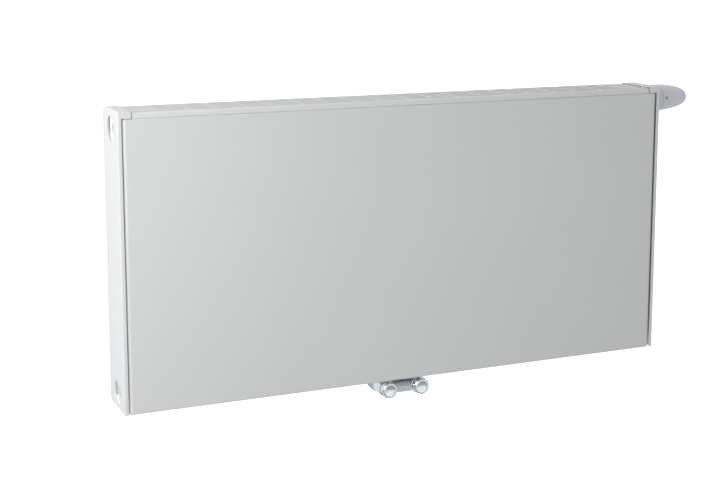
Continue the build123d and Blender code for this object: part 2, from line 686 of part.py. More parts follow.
def block_branch(x):
    """Outside of one branch: barrel, rounded elbow, outlet and the stub with its collar."""
    front = (x, BARREL_FRONT_Y, BLOCK_Z)
    body = rod(front, (x, BALL_Y, BLOCK_Z), BARREL_RADIUS)
    body += Pos(x, BALL_Y, BLOCK_Z) * Sphere(BARREL_RADIUS)
    body += rod((x, BALL_Y, BLOCK_Z), (x, OUTLET_END_Y, BLOCK_Z), OUTLET_NECK_RADIUS)
    thread_y = OUTLET_END_Y - OUTLET_THREAD
    body += rod((x, thread_y, BLOCK_Z), (x, OUTLET_END_Y, BLOCK_Z), THREE_QUARTER_RADIUS)
    body += rod((x, BALL_Y, BLOCK_Z), (x, BALL_Y, BLOCK_COLLAR_Z), STUB_RADIUS)
    return body + rod((x, BALL_Y, BLOCK_COLLAR_Z - COLLAR), (x, BALL_Y, BLOCK_COLLAR_Z), COLLAR_RADIUS)


def block_hollow(x):
    """Inside of one branch: ball cavity from the front, outlet, and the way up to the radiator."""
    cavity_rear = BALL_Y + BALL_RADIUS + SEAT_RING
    hollow = rod((x, BARREL_FRONT_Y, BLOCK_Z), (x, cavity_rear, BLOCK_Z), CAVITY_RADIUS)
    hollow += rod((x, BALL_Y, BLOCK_Z), (x, OUTLET_END_Y, BLOCK_Z), OUTLET_WAY_RADIUS)
    socket_y = OUTLET_END_Y - OUTLET_SOCKET
    hollow += rod((x, socket_y, BLOCK_Z), (x, OUTLET_END_Y, BLOCK_Z), OUTLET_BORE_RADIUS)
    return hollow + rod((x, BALL_Y, BLOCK_Z), (x, BALL_Y, BLOCK_COLLAR_Z), STUB_BORE_RADIUS)


def shutoff_block():
    """Forged block: two branches joined by a hexagonal bar."""
    bar = hexagon((FLOW_X, BAR_Y, BLOCK_Z), (RETURN_X, BAR_Y, BLOCK_Z), BAR_FLATS)
    body = bar + block_branch(FLOW_X) + block_branch(RETURN_X)
    return body - block_hollow(FLOW_X) - block_hollow(RETURN_X)


def union_nut(x):
    body = hexagon((x, TAPPING_Y, NUT_LOW_Z), (x, TAPPING_Y, NUT_HIGH_Z), NUT_FLATS)
    shoulder_z = BLOCK_COLLAR_Z - COLLAR
    body -= rod((x, TAPPING_Y, NUT_LOW_Z), (x, TAPPING_Y, shoulder_z), STUB_RADIUS + NUT_CLEARANCE)
    thread_radius = THREE_QUARTER_RADIUS + NUT_CLEARANCE
    return body - rod((x, TAPPING_Y, shoulder_z), (x, TAPPING_Y, NUT_HIGH_Z), thread_radius)


def union_gasket(x):
    ends = [(x, TAPPING_Y, BLOCK_COLLAR_Z), (x, TAPPING_Y, NIPPLE_LOW_Z)]
    return tube(*ends, GASKET_RADIUS, PIPE_BORE_RADIUS)


def ball_seat(x):
    start = BALL_Y + BALL_RADIUS
    return tube((x, start, BLOCK_Z), (x, start + SEAT_RING, BLOCK_Z), CAVITY_RADIUS, OUTLET_WAY_RADIUS)


def gland(x):
    """Screwed gland that keeps the ball in and guides its stem; the cap screws onto its front."""
    body = rod((x, BARREL_FRONT_Y, BLOCK_Z), (x, GLAND_REAR_Y, BLOCK_Z), CAVITY_RADIUS)
    body += rod((x, GLAND_FRONT_Y, BLOCK_Z), (x, BARREL_FRONT_Y, BLOCK_Z), GLAND_THREAD_RADIUS)
    return body - rod((x, GLAND_FRONT_Y, BLOCK_Z), (x, GLAND_REAR_Y, BLOCK_Z), STEM_RADIUS + RUNNING)


def shutoff_ball(x):
    """Ball with an L-shaped way, up and to the back, and a slotted stem to the front."""
    ball = Pos(x, BALL_Y, BLOCK_Z) * Sphere(BALL_RADIUS)
    ball += rod((x, STEM_FRONT_Y, BLOCK_Z), (x, BALL_Y - STEM_RADIUS, BLOCK_Z), STEM_RADIUS)
    ball -= rod((x, BALL_Y, BLOCK_Z), (x, BALL_Y + 2 * BALL_RADIUS, BLOCK_Z), BALL_WAY_RADIUS)
    ball -= rod((x, BALL_Y, BLOCK_Z), (x, BALL_Y, BLOCK_Z + 2 * BALL_RADIUS), BALL_TOP_WAY_RADIUS)
    half = STEM_SLOT / 2
    slot_end = STEM_FRONT_Y + STEM_SLOT_DEPTH
    slot_low = (x - half, GLAND_FRONT_Y, BLOCK_Z - BALL_RADIUS)
    return ball - block(slot_low, (x + half, slot_end, BLOCK_Z + BALL_RADIUS))


def screw_cap(x, turn):
    """Hexagonal protection cap with a chamfered face."""
    rear = BARREL_FRONT_Y - CAP_GAP
    body = hexagon((x, CAP_FRONT_Y, BLOCK_Z), (x, rear, BLOCK_Z), CAP_FLATS, turn)
    half = CAP_FLATS / 2
    corner = half + CAP_CORNER
    points = [(0, 0), (0, half - CAP_FACE_STEP), (CAP_CHAMFER, corner), (CAP_LENGTH, corner)]
    body &= turned([*points, (CAP_LENGTH, 0)], (x, CAP_FRONT_Y, BLOCK_Z), (0, 1, 0))
    return body - rod((x, CAP_FRONT_Y + CAP_WALL, BLOCK_Z), (x, rear, BLOCK_Z), GLAND_THREAD_RADIUS + FREE)


def cap_seal(x):
    """Sealing disc inside the cap; it moves in and out with the cap but doesn't turn."""
    start = CAP_FRONT_Y + CAP_WALL
    return rod((x, start, BLOCK_Z), (x, start + SEAL, BLOCK_Z), CAP_SEAL_RADIUS)


# ---- hanging lugs and covers ----
def hanging_lug(x, z):
    """Folded bracket on the back of the rear panel, open below for the wall hook."""
    base_y = REAR_PANEL_Y + PANEL_THICKNESS
    half = LUG_WIDTH / 2
    low_z = z - LUG_HEIGHT / 2
    high_z = z + LUG_HEIGHT / 2
    outside = block((x - half, base_y, low_z), (x + half, LUG_WALL_Y, high_z))
    inside = half - LUG_SHEET
    hollow_high = (x + inside, LUG_WALL_Y - LUG_SHEET, high_z - LUG_SHEET)
    hollow = block((x - inside, base_y + LUG_SHEET, low_z), hollow_high)
    throat_low = (x - LUG_THROAT / 2, LUG_WALL_Y - LUG_SHEET, low_z)
    throat = block(throat_low, (x + LUG_THROAT / 2, LUG_WALL_Y, z + LUG_THROAT_TOP))
    return outside - hollow - throat


def top_grille():
    """Folded grille: slotted top with long openings, front and rear skirts."""
    half = GRILLE_HALF_LENGTH
    t = GRILLE_SHEET
    outer = side_profile([(GRILLE_FRONT_Y, GRILLE_FRONT_LOW_Z), (GRILLE_FRONT_Y, GRILLE_Z),
                          (GRILLE_REAR_Y, GRILLE_Z), (GRILLE_REAR_Y, GRILLE_REAR_LOW_Z)])
    body = extrude(Pos(-half, 0, 0) * outer, 2 * half, dir=(1, 0, 0))
    body = fillet(body.edges().filter_by(Axis.X).group_by(Axis.Z)[-1], GRILLE_EDGE_RADIUS)
    low_z = GRILLE_REAR_LOW_Z - 1
    body -= block((-half, GRILLE_FRONT_Y + t, low_z), (half, GRILLE_REAR_Y - t, GRILLE_Z - t))
    pitch_y = (GRILLE_REAR_Y - GRILLE_FRONT_Y - 2 * GRILLE_BORDER) / GRILLE_SLOT_ROWS
    pitch_x = 2 * half / GRILLE_SLOT_COLUMNS
    slots = []
    for row in range(GRILLE_SLOT_ROWS):
        y = GRILLE_FRONT_Y + GRILLE_BORDER + (row + 0.5) * pitch_y
        stagger = row % 2 / 2
        for column in range(GRILLE_SLOT_COLUMNS - row % 2):
            x = -half + (column + 0.5 + stagger) * pitch_x
            slots.append(Pos(x, y, 0) * SlotOverall(pitch_x - GRILLE_SLOT_GAP, GRILLE_SLOT_WIDTH))
    return body - extrude(Pos(0, 0, GRILLE_Z - 2 * t) * Sketch(children=slots), 3 * t)


def grille_clip(x, panel_y):
    """Spring clip on a panel's top seam that holds the grille down."""
    y = panel_y + PANEL_THICKNESS / 2
    half = GRILLE_CLIP_LENGTH / 2
    low_z = PANEL_HIGH_Z - GRILLE_CLIP_GRIP
    high_z = GRILLE_Z - GRILLE_SHEET
    grip = block((x - half, y - GRILLE_CLIP_HALF, low_z), (x + half, y + GRILLE_CLIP_HALF, high_z))
    return grip - block((x - half, y - PANEL_SHEET, low_z), (x + half, y + PANEL_SHEET, PANEL_HIGH_Z))


def cover_outline(inset):
    """Side cover seen from the end: rounded top rear corner, and a foot notch behind the front strip."""
    low = -1 if inset else 0
    high = TOP_Z - inset
    back = DEPTH - inset
    outline = side_profile([(inset, low), (back, low), (back, high), (inset, high)])
    rear = outline.vertices().group_by(Axis.Y)[-1]
    outline = fillet(rear.group_by(Axis.Z)[-1], COVER_TOP_RADIUS - inset)
    return outline


def side_cover(high_hole_z, high_hole_radius):
    """Right-hand side cover, open towards the panels and at the bottom."""
    end_x = COVER_LENGTH / 2
    inner_x = end_x - COVER_CAP_WIDTH
    t = COVER_SHEET
    outer = extrude(Pos(inner_x, 0, 0) * cover_outline(0), COVER_CAP_WIDTH, dir=(1, 0, 0))
    rims = outer.faces().sort_by(Axis.X)[-1].edges()
    outer = fillet([edge for edge in rims if edge.center().Z > 1], COVER_EDGE_RADIUS)
    hollow = extrude(Pos(inner_x - 1, 0, 0) * cover_outline(t), COVER_CAP_WIDTH + 1 - t, dir=(1, 0, 0))
    body = outer - hollow
    below = -1
    front_y = t + COVER_FRONT_RETURN
    border_x = end_x - COVER_SIDE_RETURN
    body -= block((inner_x - 1, below, below), (end_x - COVER_FLANGE_WIDTH, front_y, COVER_CAP_LOW_Z))
    body -= block((inner_x - 1, front_y, below), (border_x, DEPTH + 1, COVER_CAP_SIDE_Z))
    corner_low = (inner_x - 1, DEPTH - COVER_TOP_RADIUS, COVER_CAP_SIDE_Z - t)
    body -= block(corner_low, (border_x, DEPTH + 1, TOP_Z - COVER_FLANGE_WIDTH - 4))
    front, rear = FOOT_NOTCH
    top = FOOT_NOTCH_TOP_Z
    foot = side_profile([(front, below), (rear, below), (rear, top), (front, top)])
    foot = fillet(foot.vertices().group_by(Axis.Z)[-1], FOOT_NOTCH_RADIUS)
    body -= extrude(Pos(border_x - 1, 0, 0) * foot, COVER_SIDE_RETURN + 2, dir=(1, 0, 0))
    heel_y = DEPTH - COVER_FOOT_RADIUS
    radius = COVER_FOOT_RADIUS
    heel = rod((border_x - 1, heel_y, radius), (end_x + 1, heel_y, radius), radius)
    body -= block((border_x - 1, heel_y, below), (end_x + 1, DEPTH + 1, radius)) - heel
    for z, radius in ((TAPPING_LOW_Z, COVER_HOLE_RADIUS), (high_hole_z, high_hole_radius)):
        rim = tube((end_x - COVER_HOLE_RIM, TAPPING_Y, z), (end_x - t, TAPPING_Y, z), radius + t, radius)
        body = body + rim - rod((border_x, TAPPING_Y, z), (end_x + 1, TAPPING_Y, z), radius)
    return body


def cover_clip(x, y, z):
    """Plastic clip pushed onto a panel's end, which a side cover snaps over."""
    half_y, half_z = COVER_CLIP_HALF
    body = block((x, y - half_y, z - half_z), (x + COVER_CLIP_LENGTH, y + half_y, z + half_z))
    grip_low = (x, y - PANEL_SHEET, z - half_z)
    return body - block(grip_low, (x + COVER_CLIP_GRIP, y + PANEL_SHEET, z + half_z))


# ---- build every piece ----
def panels():
    ports = [(-TAPPING_X, TAPPING_LOW_Z), (TAPPING_X, TAPPING_LOW_Z), (-TAPPING_X, TAPPING_HIGH_Z),
             (VALVE_CROSS_X, TAPPING_HIGH_Z)]
    front_face, front_back = panel_halves(FRONT_PANEL_Y)
    rear_face, rear_back = panel_halves(REAR_PANEL_Y)
    inner = []
    for sheet in (front_back, rear_face):
        sheet = with_ports(sheet, ports, CROSS_BORE_RADIUS)
        inner.append(with_ports(sheet, [(RETURN_X, RETURN_CROSS_Z)], RETURN_CROSS_BORE))
    return {
        "front_panel_face_sheet": front_face,
        "front_panel_back_sheet": inner[0],
        "rear_panel_face_sheet": inner[1],
        "rear_panel_back_sheet": rear_back,
    }


def build():
    ways = (FLOW_X, RETURN_X)
    low_right = low_connector()
    panel_ys = (FRONT_PANEL_Y, REAR_PANEL_Y)
    clip_ys = [y + PANEL_THICKNESS / 2 for y in panel_ys]
    clip_x = PANEL_LENGTH / 2 - COVER_CLIP_GRIP
    right_clips = [cover_clip(clip_x, y, z) for y in clip_ys for z in COVER_CLIP_ZS]
    nodes = {
        "front_plate": front_plate(),
        "front_plate_brackets": front_plate_brackets(),
        **panels(),
        "convector_fins": convector(),
        "vent_tee": vent_tee(),
        "valve_tee": valve_tee(),
        "low_connector_left": mirror(low_right, Plane.YZ),
        "low_connector_right": low_right,
        "flow_nipple": flow_nipple(),
        "return_tee": return_tee(),
        "flow_pipe": flow_pipe(),
        "hanging_lugs": group([hanging_lug(x, z) for x in LUG_XS for z in (LUG_LOW_Z, LUG_HIGH_Z)]),
        "top_grille": top_grille(),
        "grille_clips": group([grille_clip(x, y) for x in GRILLE_CLIP_XS for y in panel_ys]),
        "side_cover_left": mirror(side_cover(TAPPING_HIGH_Z, COVER_HOLE_RADIUS), Plane.YZ),
        "side_cover_right": side_cover(HEAD_Z, COVER_HEAD_HOLE_RADIUS),
        "side_cover_clips": group([both_ends(clip) for clip in right_clips]),
        "blind_plugs": group([blind_plug(x) for x in SOCKET_XS]),
        "blind_plug_seals": group([plug_seal(x) for x in SOCKET_XS]),
        "air_vent_plug": air_vent_plug(),
        "air_vent_seal": air_vent_seal(),
        "vent_screw": vent_screw(),
        "valve_insert": valve_insert(),
        "valve_insert_seal": insert_seal(),
        "valve_spindle": valve_spindle(),
        "valve_disc": valve_disc(),
        "valve_spring": return_spring(),
        "head_union_ring": head_ring(),
        "head_base": head_base(),
        "head_dial": head_dial(),
        "sensor_capsule": sensor(),
        "sensor_pin": sensor_pin(),
        "shutoff_block": shutoff_block(),
        "union_nuts": group([union_nut(x) for x in ways]),
        "union_gaskets": group([union_gasket(x) for x in ways]),
        "ball_seats": group([ball_seat(x) for x in ways]),
        "stem_glands": group([gland(x) for x in ways]),
        "flow_shutoff_ball": shutoff_ball(FLOW_X),
        "return_shutoff_ball": shutoff_ball(RETURN_X),
        "flow_cap": screw_cap(FLOW_X, 30),
        "return_cap": screw_cap(RETURN_X, 0),
        "flow_cap_seal": cap_seal(FLOW_X),
        "return_cap_seal": cap_seal(RETURN_X),
    }
    return nodes


def write(nodes):
    os.makedirs("parts", exist_ok=True)
    for name, shape in nodes.items():
        export_step(shape.moved(Location(ORIGIN_SHIFT)), f"parts/{name}.step")


write(build())
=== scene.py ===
"""Looks of the panel radiator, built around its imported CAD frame."""

import json
import math

import bmesh
import bpy
import numpy as np
from mathutils import Matrix, Vector

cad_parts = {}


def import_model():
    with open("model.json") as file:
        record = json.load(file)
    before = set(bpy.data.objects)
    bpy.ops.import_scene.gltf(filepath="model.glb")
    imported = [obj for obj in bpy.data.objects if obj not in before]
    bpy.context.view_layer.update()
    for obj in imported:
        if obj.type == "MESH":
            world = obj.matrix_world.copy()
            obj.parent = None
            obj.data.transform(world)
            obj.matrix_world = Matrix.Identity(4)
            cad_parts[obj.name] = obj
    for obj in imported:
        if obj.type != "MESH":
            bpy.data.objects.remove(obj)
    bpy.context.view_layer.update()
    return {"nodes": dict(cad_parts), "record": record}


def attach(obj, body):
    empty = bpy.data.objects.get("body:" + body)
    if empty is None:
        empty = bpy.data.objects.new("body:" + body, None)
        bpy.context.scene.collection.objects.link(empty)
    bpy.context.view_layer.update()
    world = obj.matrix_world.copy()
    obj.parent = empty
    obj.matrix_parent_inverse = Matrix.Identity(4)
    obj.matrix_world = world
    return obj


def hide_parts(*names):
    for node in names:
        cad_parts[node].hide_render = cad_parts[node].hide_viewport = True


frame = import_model()

# Shapes are drawn in millimetres: x along the radiator from its middle, y from the plate's face
# towards the wall, z up from the plate's lower edge. TO_ROW takes them to the row frame in metres.
TO_ROW = Matrix.Scale(0.001, 4) @ Matrix.Translation((0, -82, -200))

X, Y, Z = Vector((1, 0, 0)), Vector((0, 1, 0)), Vector((0, 0, 1))


# ---------------------------------------------------------------- materials
def shading(name):
    """New material with its node tree, links and shader."""
    material = bpy.data.materials.new(name)
    material.use_nodes = True
    tree = material.node_tree
    return material, tree, tree.links, tree.nodes["Principled BSDF"]


def noise(tree, coords, scale, detail=3.0, stretch=(1, 1, 1)):
    """Noise texture in object space; stretch squeezes it along an axis."""
    mapping = tree.nodes.new("ShaderNodeMapping")
    mapping.inputs["Scale"].default_value = stretch
    tree.links.new(coords, mapping.inputs["Vector"])
    texture = tree.nodes.new("ShaderNodeTexNoise")
    texture.inputs["Scale"].default_value = scale
    texture.inputs["Detail"].default_value = detail
    tree.links.new(mapping.outputs["Vector"], texture.inputs["Vector"])
    return texture.outputs["Fac"]


def ramp(tree, value, low, high, at=(0.35, 0.65)):
    """Colour ramp between two colours."""
    node = tree.nodes.new("ShaderNodeValToRGB")
    first, last = node.color_ramp.elements
    first.position, last.position = at
    first.color = (*low, 1)
    last.color = (*high, 1)
    tree.links.new(value, node.inputs["Fac"])
    return node.outputs["Color"]


def between(tree, value, low, high):
    node = tree.nodes.new("ShaderNodeMapRange")
    node.inputs["To Min"].default_value = low
    node.inputs["To Max"].default_value = high
    tree.links.new(value, node.inputs["Value"])
    return node.outputs["Result"]


def bump(tree, height, strength, distance, before=None):
    node = tree.nodes.new("ShaderNodeBump")
    node.inputs["Strength"].default_value = strength
    node.inputs["Distance"].default_value = distance
    tree.links.new(height, node.inputs["Height"])
    if before is not None:
        tree.links.new(before, node.inputs["Normal"])
    return node.outputs["Normal"]


def object_coords(tree):
    return tree.nodes.new("ShaderNodeTexCoord").outputs["Object"]


def powder_coat(name, colour, roughness=(0.34, 0.42), peel=0.12, cloud=0.012):
    """Baked powder coat: orange peel, faint unevenness of tone and gloss."""
    material, tree, links, shader = shading(name)
    coords = object_coords(tree)
    dark = [c * (1 - cloud) for c in colour]
    links.new(ramp(tree, noise(tree, coords, 9, 4), dark, colour), shader.inputs["Base Color"])
    links.new(between(tree, noise(tree, coords, 60, 3), *roughness), shader.inputs["Roughness"])
    coarse = bump(tree, noise(tree, coords, 420, 2), peel, 0.00008)
    fine = noise(tree, coords, 2400, 2)
    links.new(bump(tree, fine, peel, 0.00002, coarse), shader.inputs["Normal"])
    shader.inputs["IOR"].default_value = 1.5
    return material


def metal(name, colour, roughness, texture_scale, stretch=(1, 1, 1), depth=0.00004, strength=0.25,
          tint=0.06):
    """Bare or plated metal with fine tooling marks and uneven gloss."""
    material, tree, links, shader = shading(name)
    coords = object_coords(tree)
    dark = [c * (1 - tint) for c in colour]
    links.new(ramp(tree, noise(tree, coords, 140, 4), dark, colour), shader.inputs["Base Color"])
    gloss = noise(tree, coords, texture_scale, 3, stretch)
    links.new(between(tree, gloss, *roughness), shader.inputs["Roughness"])
    marks = noise(tree, coords, texture_scale * 4, 2, stretch)
    links.new(bump(tree, marks, strength, depth), shader.inputs["Normal"])
    shader.inputs["Metallic"].default_value = 1.0
    return material


def plastic(name, colour, roughness, grain=1600, strength=0.15, tint=0.02):
    """Moulded plastic with a fine eroded grain."""
    material, tree, links, shader = shading(name)
    coords = object_coords(tree)
    dark = [c * (1 - tint) for c in colour]
    links.new(ramp(tree, noise(tree, coords, 30, 3), dark, colour), shader.inputs["Base Color"])
    links.new(between(tree, noise(tree, coords, 200, 2), *roughness), shader.inputs["Roughness"])
    links.new(bump(tree, noise(tree, coords, grain, 2), strength, 0.00003), shader.inputs["Normal"])
    shader.inputs["IOR"].default_value = 1.46
    return material


MATERIAL = {
    "plate_white": powder_coat("plate_white", (0.80, 0.805, 0.80)),
    "cover_white": powder_coat("cover_white", (0.83, 0.835, 0.835)),
    "panel_white": powder_coat("panel_white", (0.78, 0.785, 0.785), (0.38, 0.5), peel=0.2, cloud=0.03),
    "spring_steel": metal("spring_steel", (0.56, 0.57, 0.58), (0.22, 0.36), 300, (1, 1, 6)),
    "clip_plastic": plastic("clip_plastic", (0.72, 0.72, 0.7), (0.4, 0.55)),
    "head_plastic": plastic("head_plastic", (0.90, 0.91, 0.96), (0.18, 0.26), 900, strength=0.08),
    "nickel": metal("nickel", (0.86, 0.92, 0.945), (0.12, 0.22), 220, depth=0.00003, strength=0.18),
    "brass": metal("brass", (0.40, 0.33, 0.19), (0.28, 0.42), 320, (1, 6, 6), strength=0.3,
                   tint=0.18),
    "polished_ball": metal("polished_ball", (0.78, 0.79, 0.81), (0.05, 0.12), 180, depth=0.00001),
    "rubber_seal": plastic("rubber_seal", (0.03, 0.03, 0.032), (0.6, 0.8), 1200, strength=0.4,
                           tint=0.3),
    "seat_ptfe": plastic("seat_ptfe", (0.84, 0.84, 0.8), (0.35, 0.5)),
    "sensor_metal": metal("sensor_metal", (0.66, 0.67, 0.69), (0.25, 0.4), 240, (8, 1, 1)),
    "marker_grey": plastic("marker_grey", (0.30, 0.31, 0.33), (0.35, 0.5)),
}


# ---------------------------------------------------------------- mesh tools
def arc_points(before, corner, after, radius, steps):
    """Points of a fillet at a corner of a flat outline."""
    a = Vector(before) - Vector(corner)
    b = Vector(after) - Vector(corner)
    angle = a.angle(b)
    if radius <= 0 or angle > math.pi - 1e-3:
        return [Vector(corner)]
    reach = min(radius / math.tan(angle / 2), 0.49 * a.length, 0.49 * b.length)
    radius = reach * math.tan(angle / 2)
    middle = (a.normalized() + b.normalized()).normalized()
    centre = Vector(corner) + middle * radius / math.sin(angle / 2)
    start = Vector(corner) + a.normalized() * reach - centre
    end = Vector(corner) + b.normalized() * reach - centre
    sweep = start.angle(end)
    if sweep < 1e-6:
        return [Vector(corner)]
    points = []
    for i in range(steps + 1):
        t = i / steps
        blend = math.sin((1 - t) * sweep) * start + math.sin(t * sweep) * end
        points.append(centre + blend / math.sin(sweep))
    return points


def rounded(points, radius, steps=5, closed=True):
    """Outline of 2-D points with its corners filleted; radius is one number or one per point."""
    count = len(points)
    radii = radius if isinstance(radius, (list, tuple)) else [radius] * count
    result = []
    for i, point in enumerate(points):
        if not closed and i in (0, count - 1):
            result.append(Vector(point))
            continue
        result += arc_points(points[i - 1], point, points[(i + 1) % count], radii[i], steps)
    return result


def frame_of(axis):
    """Two directions square to an axis."""
    u = Z.cross(axis) if abs(axis.z) < 0.9 else X.copy()
    u.normalize()
    return u, axis.cross(u)


def ring_faces(bm, first, second, closed=True):
    count = len(first)
    for i in range(count if closed else count - 1):
        j = (i + 1) % count
        corners = [first[i], first[j], second[j], second[i]]
        distinct = list(dict.fromkeys(corners))
        if len(distinct) > 2:
            bm.faces.new(distinct)


def turned(profile, origin, axis, steps=64, loop=False, radius_at=None):
    """Solid of revolution from (along, radius) points; loop closes the profile for a ring.
    radius_at(angle, along, radius) may change the radius round the turn."""
    bm = bmesh.new()
    u, v = frame_of(axis)
    rings = []
    for along, radius in profile:
        centre = Vector(origin) + axis * along
        if radius < 1e-6:
            rings.append([bm.verts.new(centre)] * steps)
            continue
        ring = []
        for i in range(steps):
            angle = 2 * math.pi * i / steps
            r = radius_at(angle, along, radius) if radius_at else radius
            ring.append(bm.verts.new(centre + (u * math.cos(angle) + v * math.sin(angle)) * r))
        rings.append(ring)
    pairs = list(zip(rings, rings[1:]))
    if loop:
        pairs.append((rings[-1], rings[0]))
    for first, second in pairs:
        ring_faces(bm, first, second)
    if not loop:
        for ring in (rings[0], rings[-1]):
            if len(set(ring)) > 2:
                bm.faces.new(ring)
    bmesh.ops.recalc_face_normals(bm, faces=bm.faces)
    return bm


def prism(outline, start, along, u, v):
    """Outline of (u, v) points pushed along a vector."""
    bm = bmesh.new()
    low = [bm.verts.new(Vector(start) + u * p[0] + v * p[1]) for p in outline]
    high = [bm.verts.new(vert.co + along) for vert in low]
    ring_faces(bm, low, high)
    bm.faces.new(low)
    bm.faces.new(high)
    bmesh.ops.recalc_face_normals(bm, faces=bm.faces)
    return bm


def box(low, high, radius=0.0, segments=3, edges=None):
    """Block between two corners; edges(edge) picks the ones to round."""
    bm = bmesh.new()
    bmesh.ops.create_cube(bm, size=1)
    size = Vector(high) - Vector(low)
    middle = (Vector(high) + Vector(low)) / 2
    place = Matrix.Translation(middle) @ Matrix.Diagonal((*size, 1))
    bmesh.ops.transform(bm, matrix=place, verts=bm.verts)
    if radius:
        chosen = [edge for edge in bm.edges if edges is None or edges(edge)]
        bmesh.ops.bevel(bm, geom=chosen, offset=radius, segments=segments, profile=0.5, affect="EDGES")
    return bm


def rod(start, end, radius, steps=48):
    start, end = Vector(start), Vector(end)
    length = (end - start).length
    profile = [(0, 0), (0, radius), (length, radius), (length, 0)]
    return turned(profile, start, (end - start).normalized(), steps)


def temporary(bm):
    mesh = bpy.data.meshes.new("temporary")
    bm.to_mesh(mesh)
    bm.free()
    obj = bpy.data.objects.new("temporary", mesh)
    bpy.context.scene.collection.objects.link(obj)
    return obj


def discard(obj):
    mesh = obj.data
    bpy.data.objects.remove(obj)
    bpy.data.meshes.remove(mesh)


def finished(obj):
    """A temporary object's mesh with its modifiers applied, as bmesh; the object goes."""
    bm = bmesh.new()
    bm.from_object(obj, bpy.context.evaluated_depsgraph_get())
    discard(obj)
    return bm


def boolean(first, others, operation="DIFFERENCE"):
    for other in others:
        a, b = temporary(first), temporary(other)
        modifier = a.modifiers.new("boolean", "BOOLEAN")
        modifier.operation = operation
        modifier.solver = "EXACT"
        modifier.object = b
        first = finished(a)
        discard(b)
    return first


def joined(parts):
    """Several bmeshes as one, without merging them."""
    whole = bmesh.new()
    for part in parts:
        mesh = bpy.data.meshes.new("temporary")
        part.to_mesh(mesh)
        part.free()
        whole.from_mesh(mesh)
        bpy.data.meshes.remove(mesh)
    return whole


def mirrored(bm):
    copy = bm.copy()
    bmesh.ops.transform(copy, matrix=Matrix.Diagonal((-1, 1, 1, 1)), verts=copy.verts)
    bmesh.ops.reverse_faces(copy, faces=copy.faces)
    return copy


def piece(name, bm, slot, body="radiator", replaces=(), bevel=0.0, sharp=34, bevel_angle=50):
    """Makes a shown piece from a bmesh drawn in millimetres."""
    bmesh.ops.remove_doubles(bm, verts=bm.verts, dist=1e-4)
    bmesh.ops.dissolve_degenerate(bm, edges=bm.edges, dist=1e-5)
    bmesh.ops.transform(bm, matrix=TO_ROW, verts=bm.verts)
    mesh = bpy.data.meshes.new(name)
    bm.to_mesh(mesh)
    bm.free()
    mesh.materials.append(MATERIAL[slot])
    mesh.shade_smooth()
    obj = bpy.data.objects.new(name, mesh)
    bpy.context.scene.collection.objects.link(obj)
    if bevel:
        modifier = obj.modifiers.new("bevel", "BEVEL")
        modifier.width = bevel / 1000
        modifier.segments = 2
        modifier.limit_method = "ANGLE"
        modifier.angle_limit = math.radians(bevel_angle)
        modifier.use_clamp_overlap = True
        modifier.miter_outer = "MITER_ARC"
    mesh.set_sharp_from_angle(angle=math.radians(sharp))
    weighted = obj.modifiers.new("normals", "WEIGHTED_NORMAL")
    weighted.keep_sharp = True
    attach(obj, body)
    if replaces:
        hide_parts(*replaces)
    return obj


# ---------------------------------------------------------------- threads and hexagons
THREAD_PITCH = 1.814


def thread_profile(start, end, step=0.3):
    count = max(2, round(abs(end - start) / step))
    return [start + (end - start) * i / count for i in range(count + 1)]


def thread_wave(angle, along):
    """0 at the root and 1 at the crest of a helical thread."""
    phase = (along / THREAD_PITCH - angle / (2 * math.pi)) % 1.0
    return min(1.0, max(0.0, 1.35 * (1 - abs(2 * phase - 1)) - 0.17))


def outer_thread(major, depth, start, end):
    """radius_at for an outer thread that runs out at both ends."""
    def radius_at(angle, along, radius):
        if not start <= along <= end or radius < major - 1e-3:
            return radius
        fade = min(1.0, (along - start) / 1.2, (end - along) / 1.2)
        return major - depth * (1 - thread_wave(angle, along)) * max(0.0, fade)
    return radius_at


def inner_thread(minor, depth, start, end):
    """radius_at for a tapped hole whose crests are at the minor radius."""
    def radius_at(angle, along, radius):
        if not start <= along <= end or abs(radius - minor) > 1e-3:
            return radius
        fade = min(1.0, (along - start) / 0.8, (end - along) / 0.8)
        return minor + depth * (1 - thread_wave(angle, along)) * max(0.0, fade)
    return radius_at


def hexagon_radius(flats, angle, corner=0.3):
    """Radius of a hexagon with softened corners at an angle from the middle of a flat."""
    sector = math.pi / 3
    offset = (angle + sector / 2) % sector - sector / 2
    exact = flats / 2 / math.cos(offset)
    tip = flats / 2 / math.cos(sector / 2)
    return min(exact, tip - corner + corner * (1 - abs(offset) / (sector / 2)) * 2)


def hexagon(flats):
    """Corners of a plain hexagon."""
    reach = flats / 2 / math.cos(math.pi / 6)
    return [(reach * math.cos(math.pi / 3 * i), reach * math.sin(math.pi / 3 * i)) for i in range(6)]


def hex_solid(profile, flats, origin, axis, turn=0.0, steps=144):
    """Turned solid cut to a hexagon: the chamfers come out as the arcs of a real nut."""
    def radius_at(angle, along, radius):
        return min(radius, hexagon_radius(flats, angle - turn))
    return turned(profile, origin, axis, steps, radius_at=radius_at)


# ---------------------------------------------------------------- dimensions shared with the CAD part
HALF_PLATE = 404.0
PLATE_TOP = 390.0
END_X = 410.0
TOP_Z = 400.0
DEPTH = 82.0
AXIS_Y = 40.0
LOW_Z = 20.0
HIGH_Z = 374.0
HEAD_Z = 378.5
BLOCK_Z = -18.0
WAYS = (-25.0, 25.0)
SOCKET_XS = (322.0, 372.0)
BAR_Y = 31.0
BAR_FLATS = 19.0
BARREL_RADIUS = 12.5
OUTLET_THREAD_RADIUS = 13.2
TAPPING_RADIUS = 9.32
CAP_FLATS = 22.0
NUT_FLATS = 30.0
PLUG_KEY_FLATS = 10.0
HEAD_SPLIT_X = 431.0
HEAD_TIP_X = 483.0
HEAD_RADIUS = 20.0


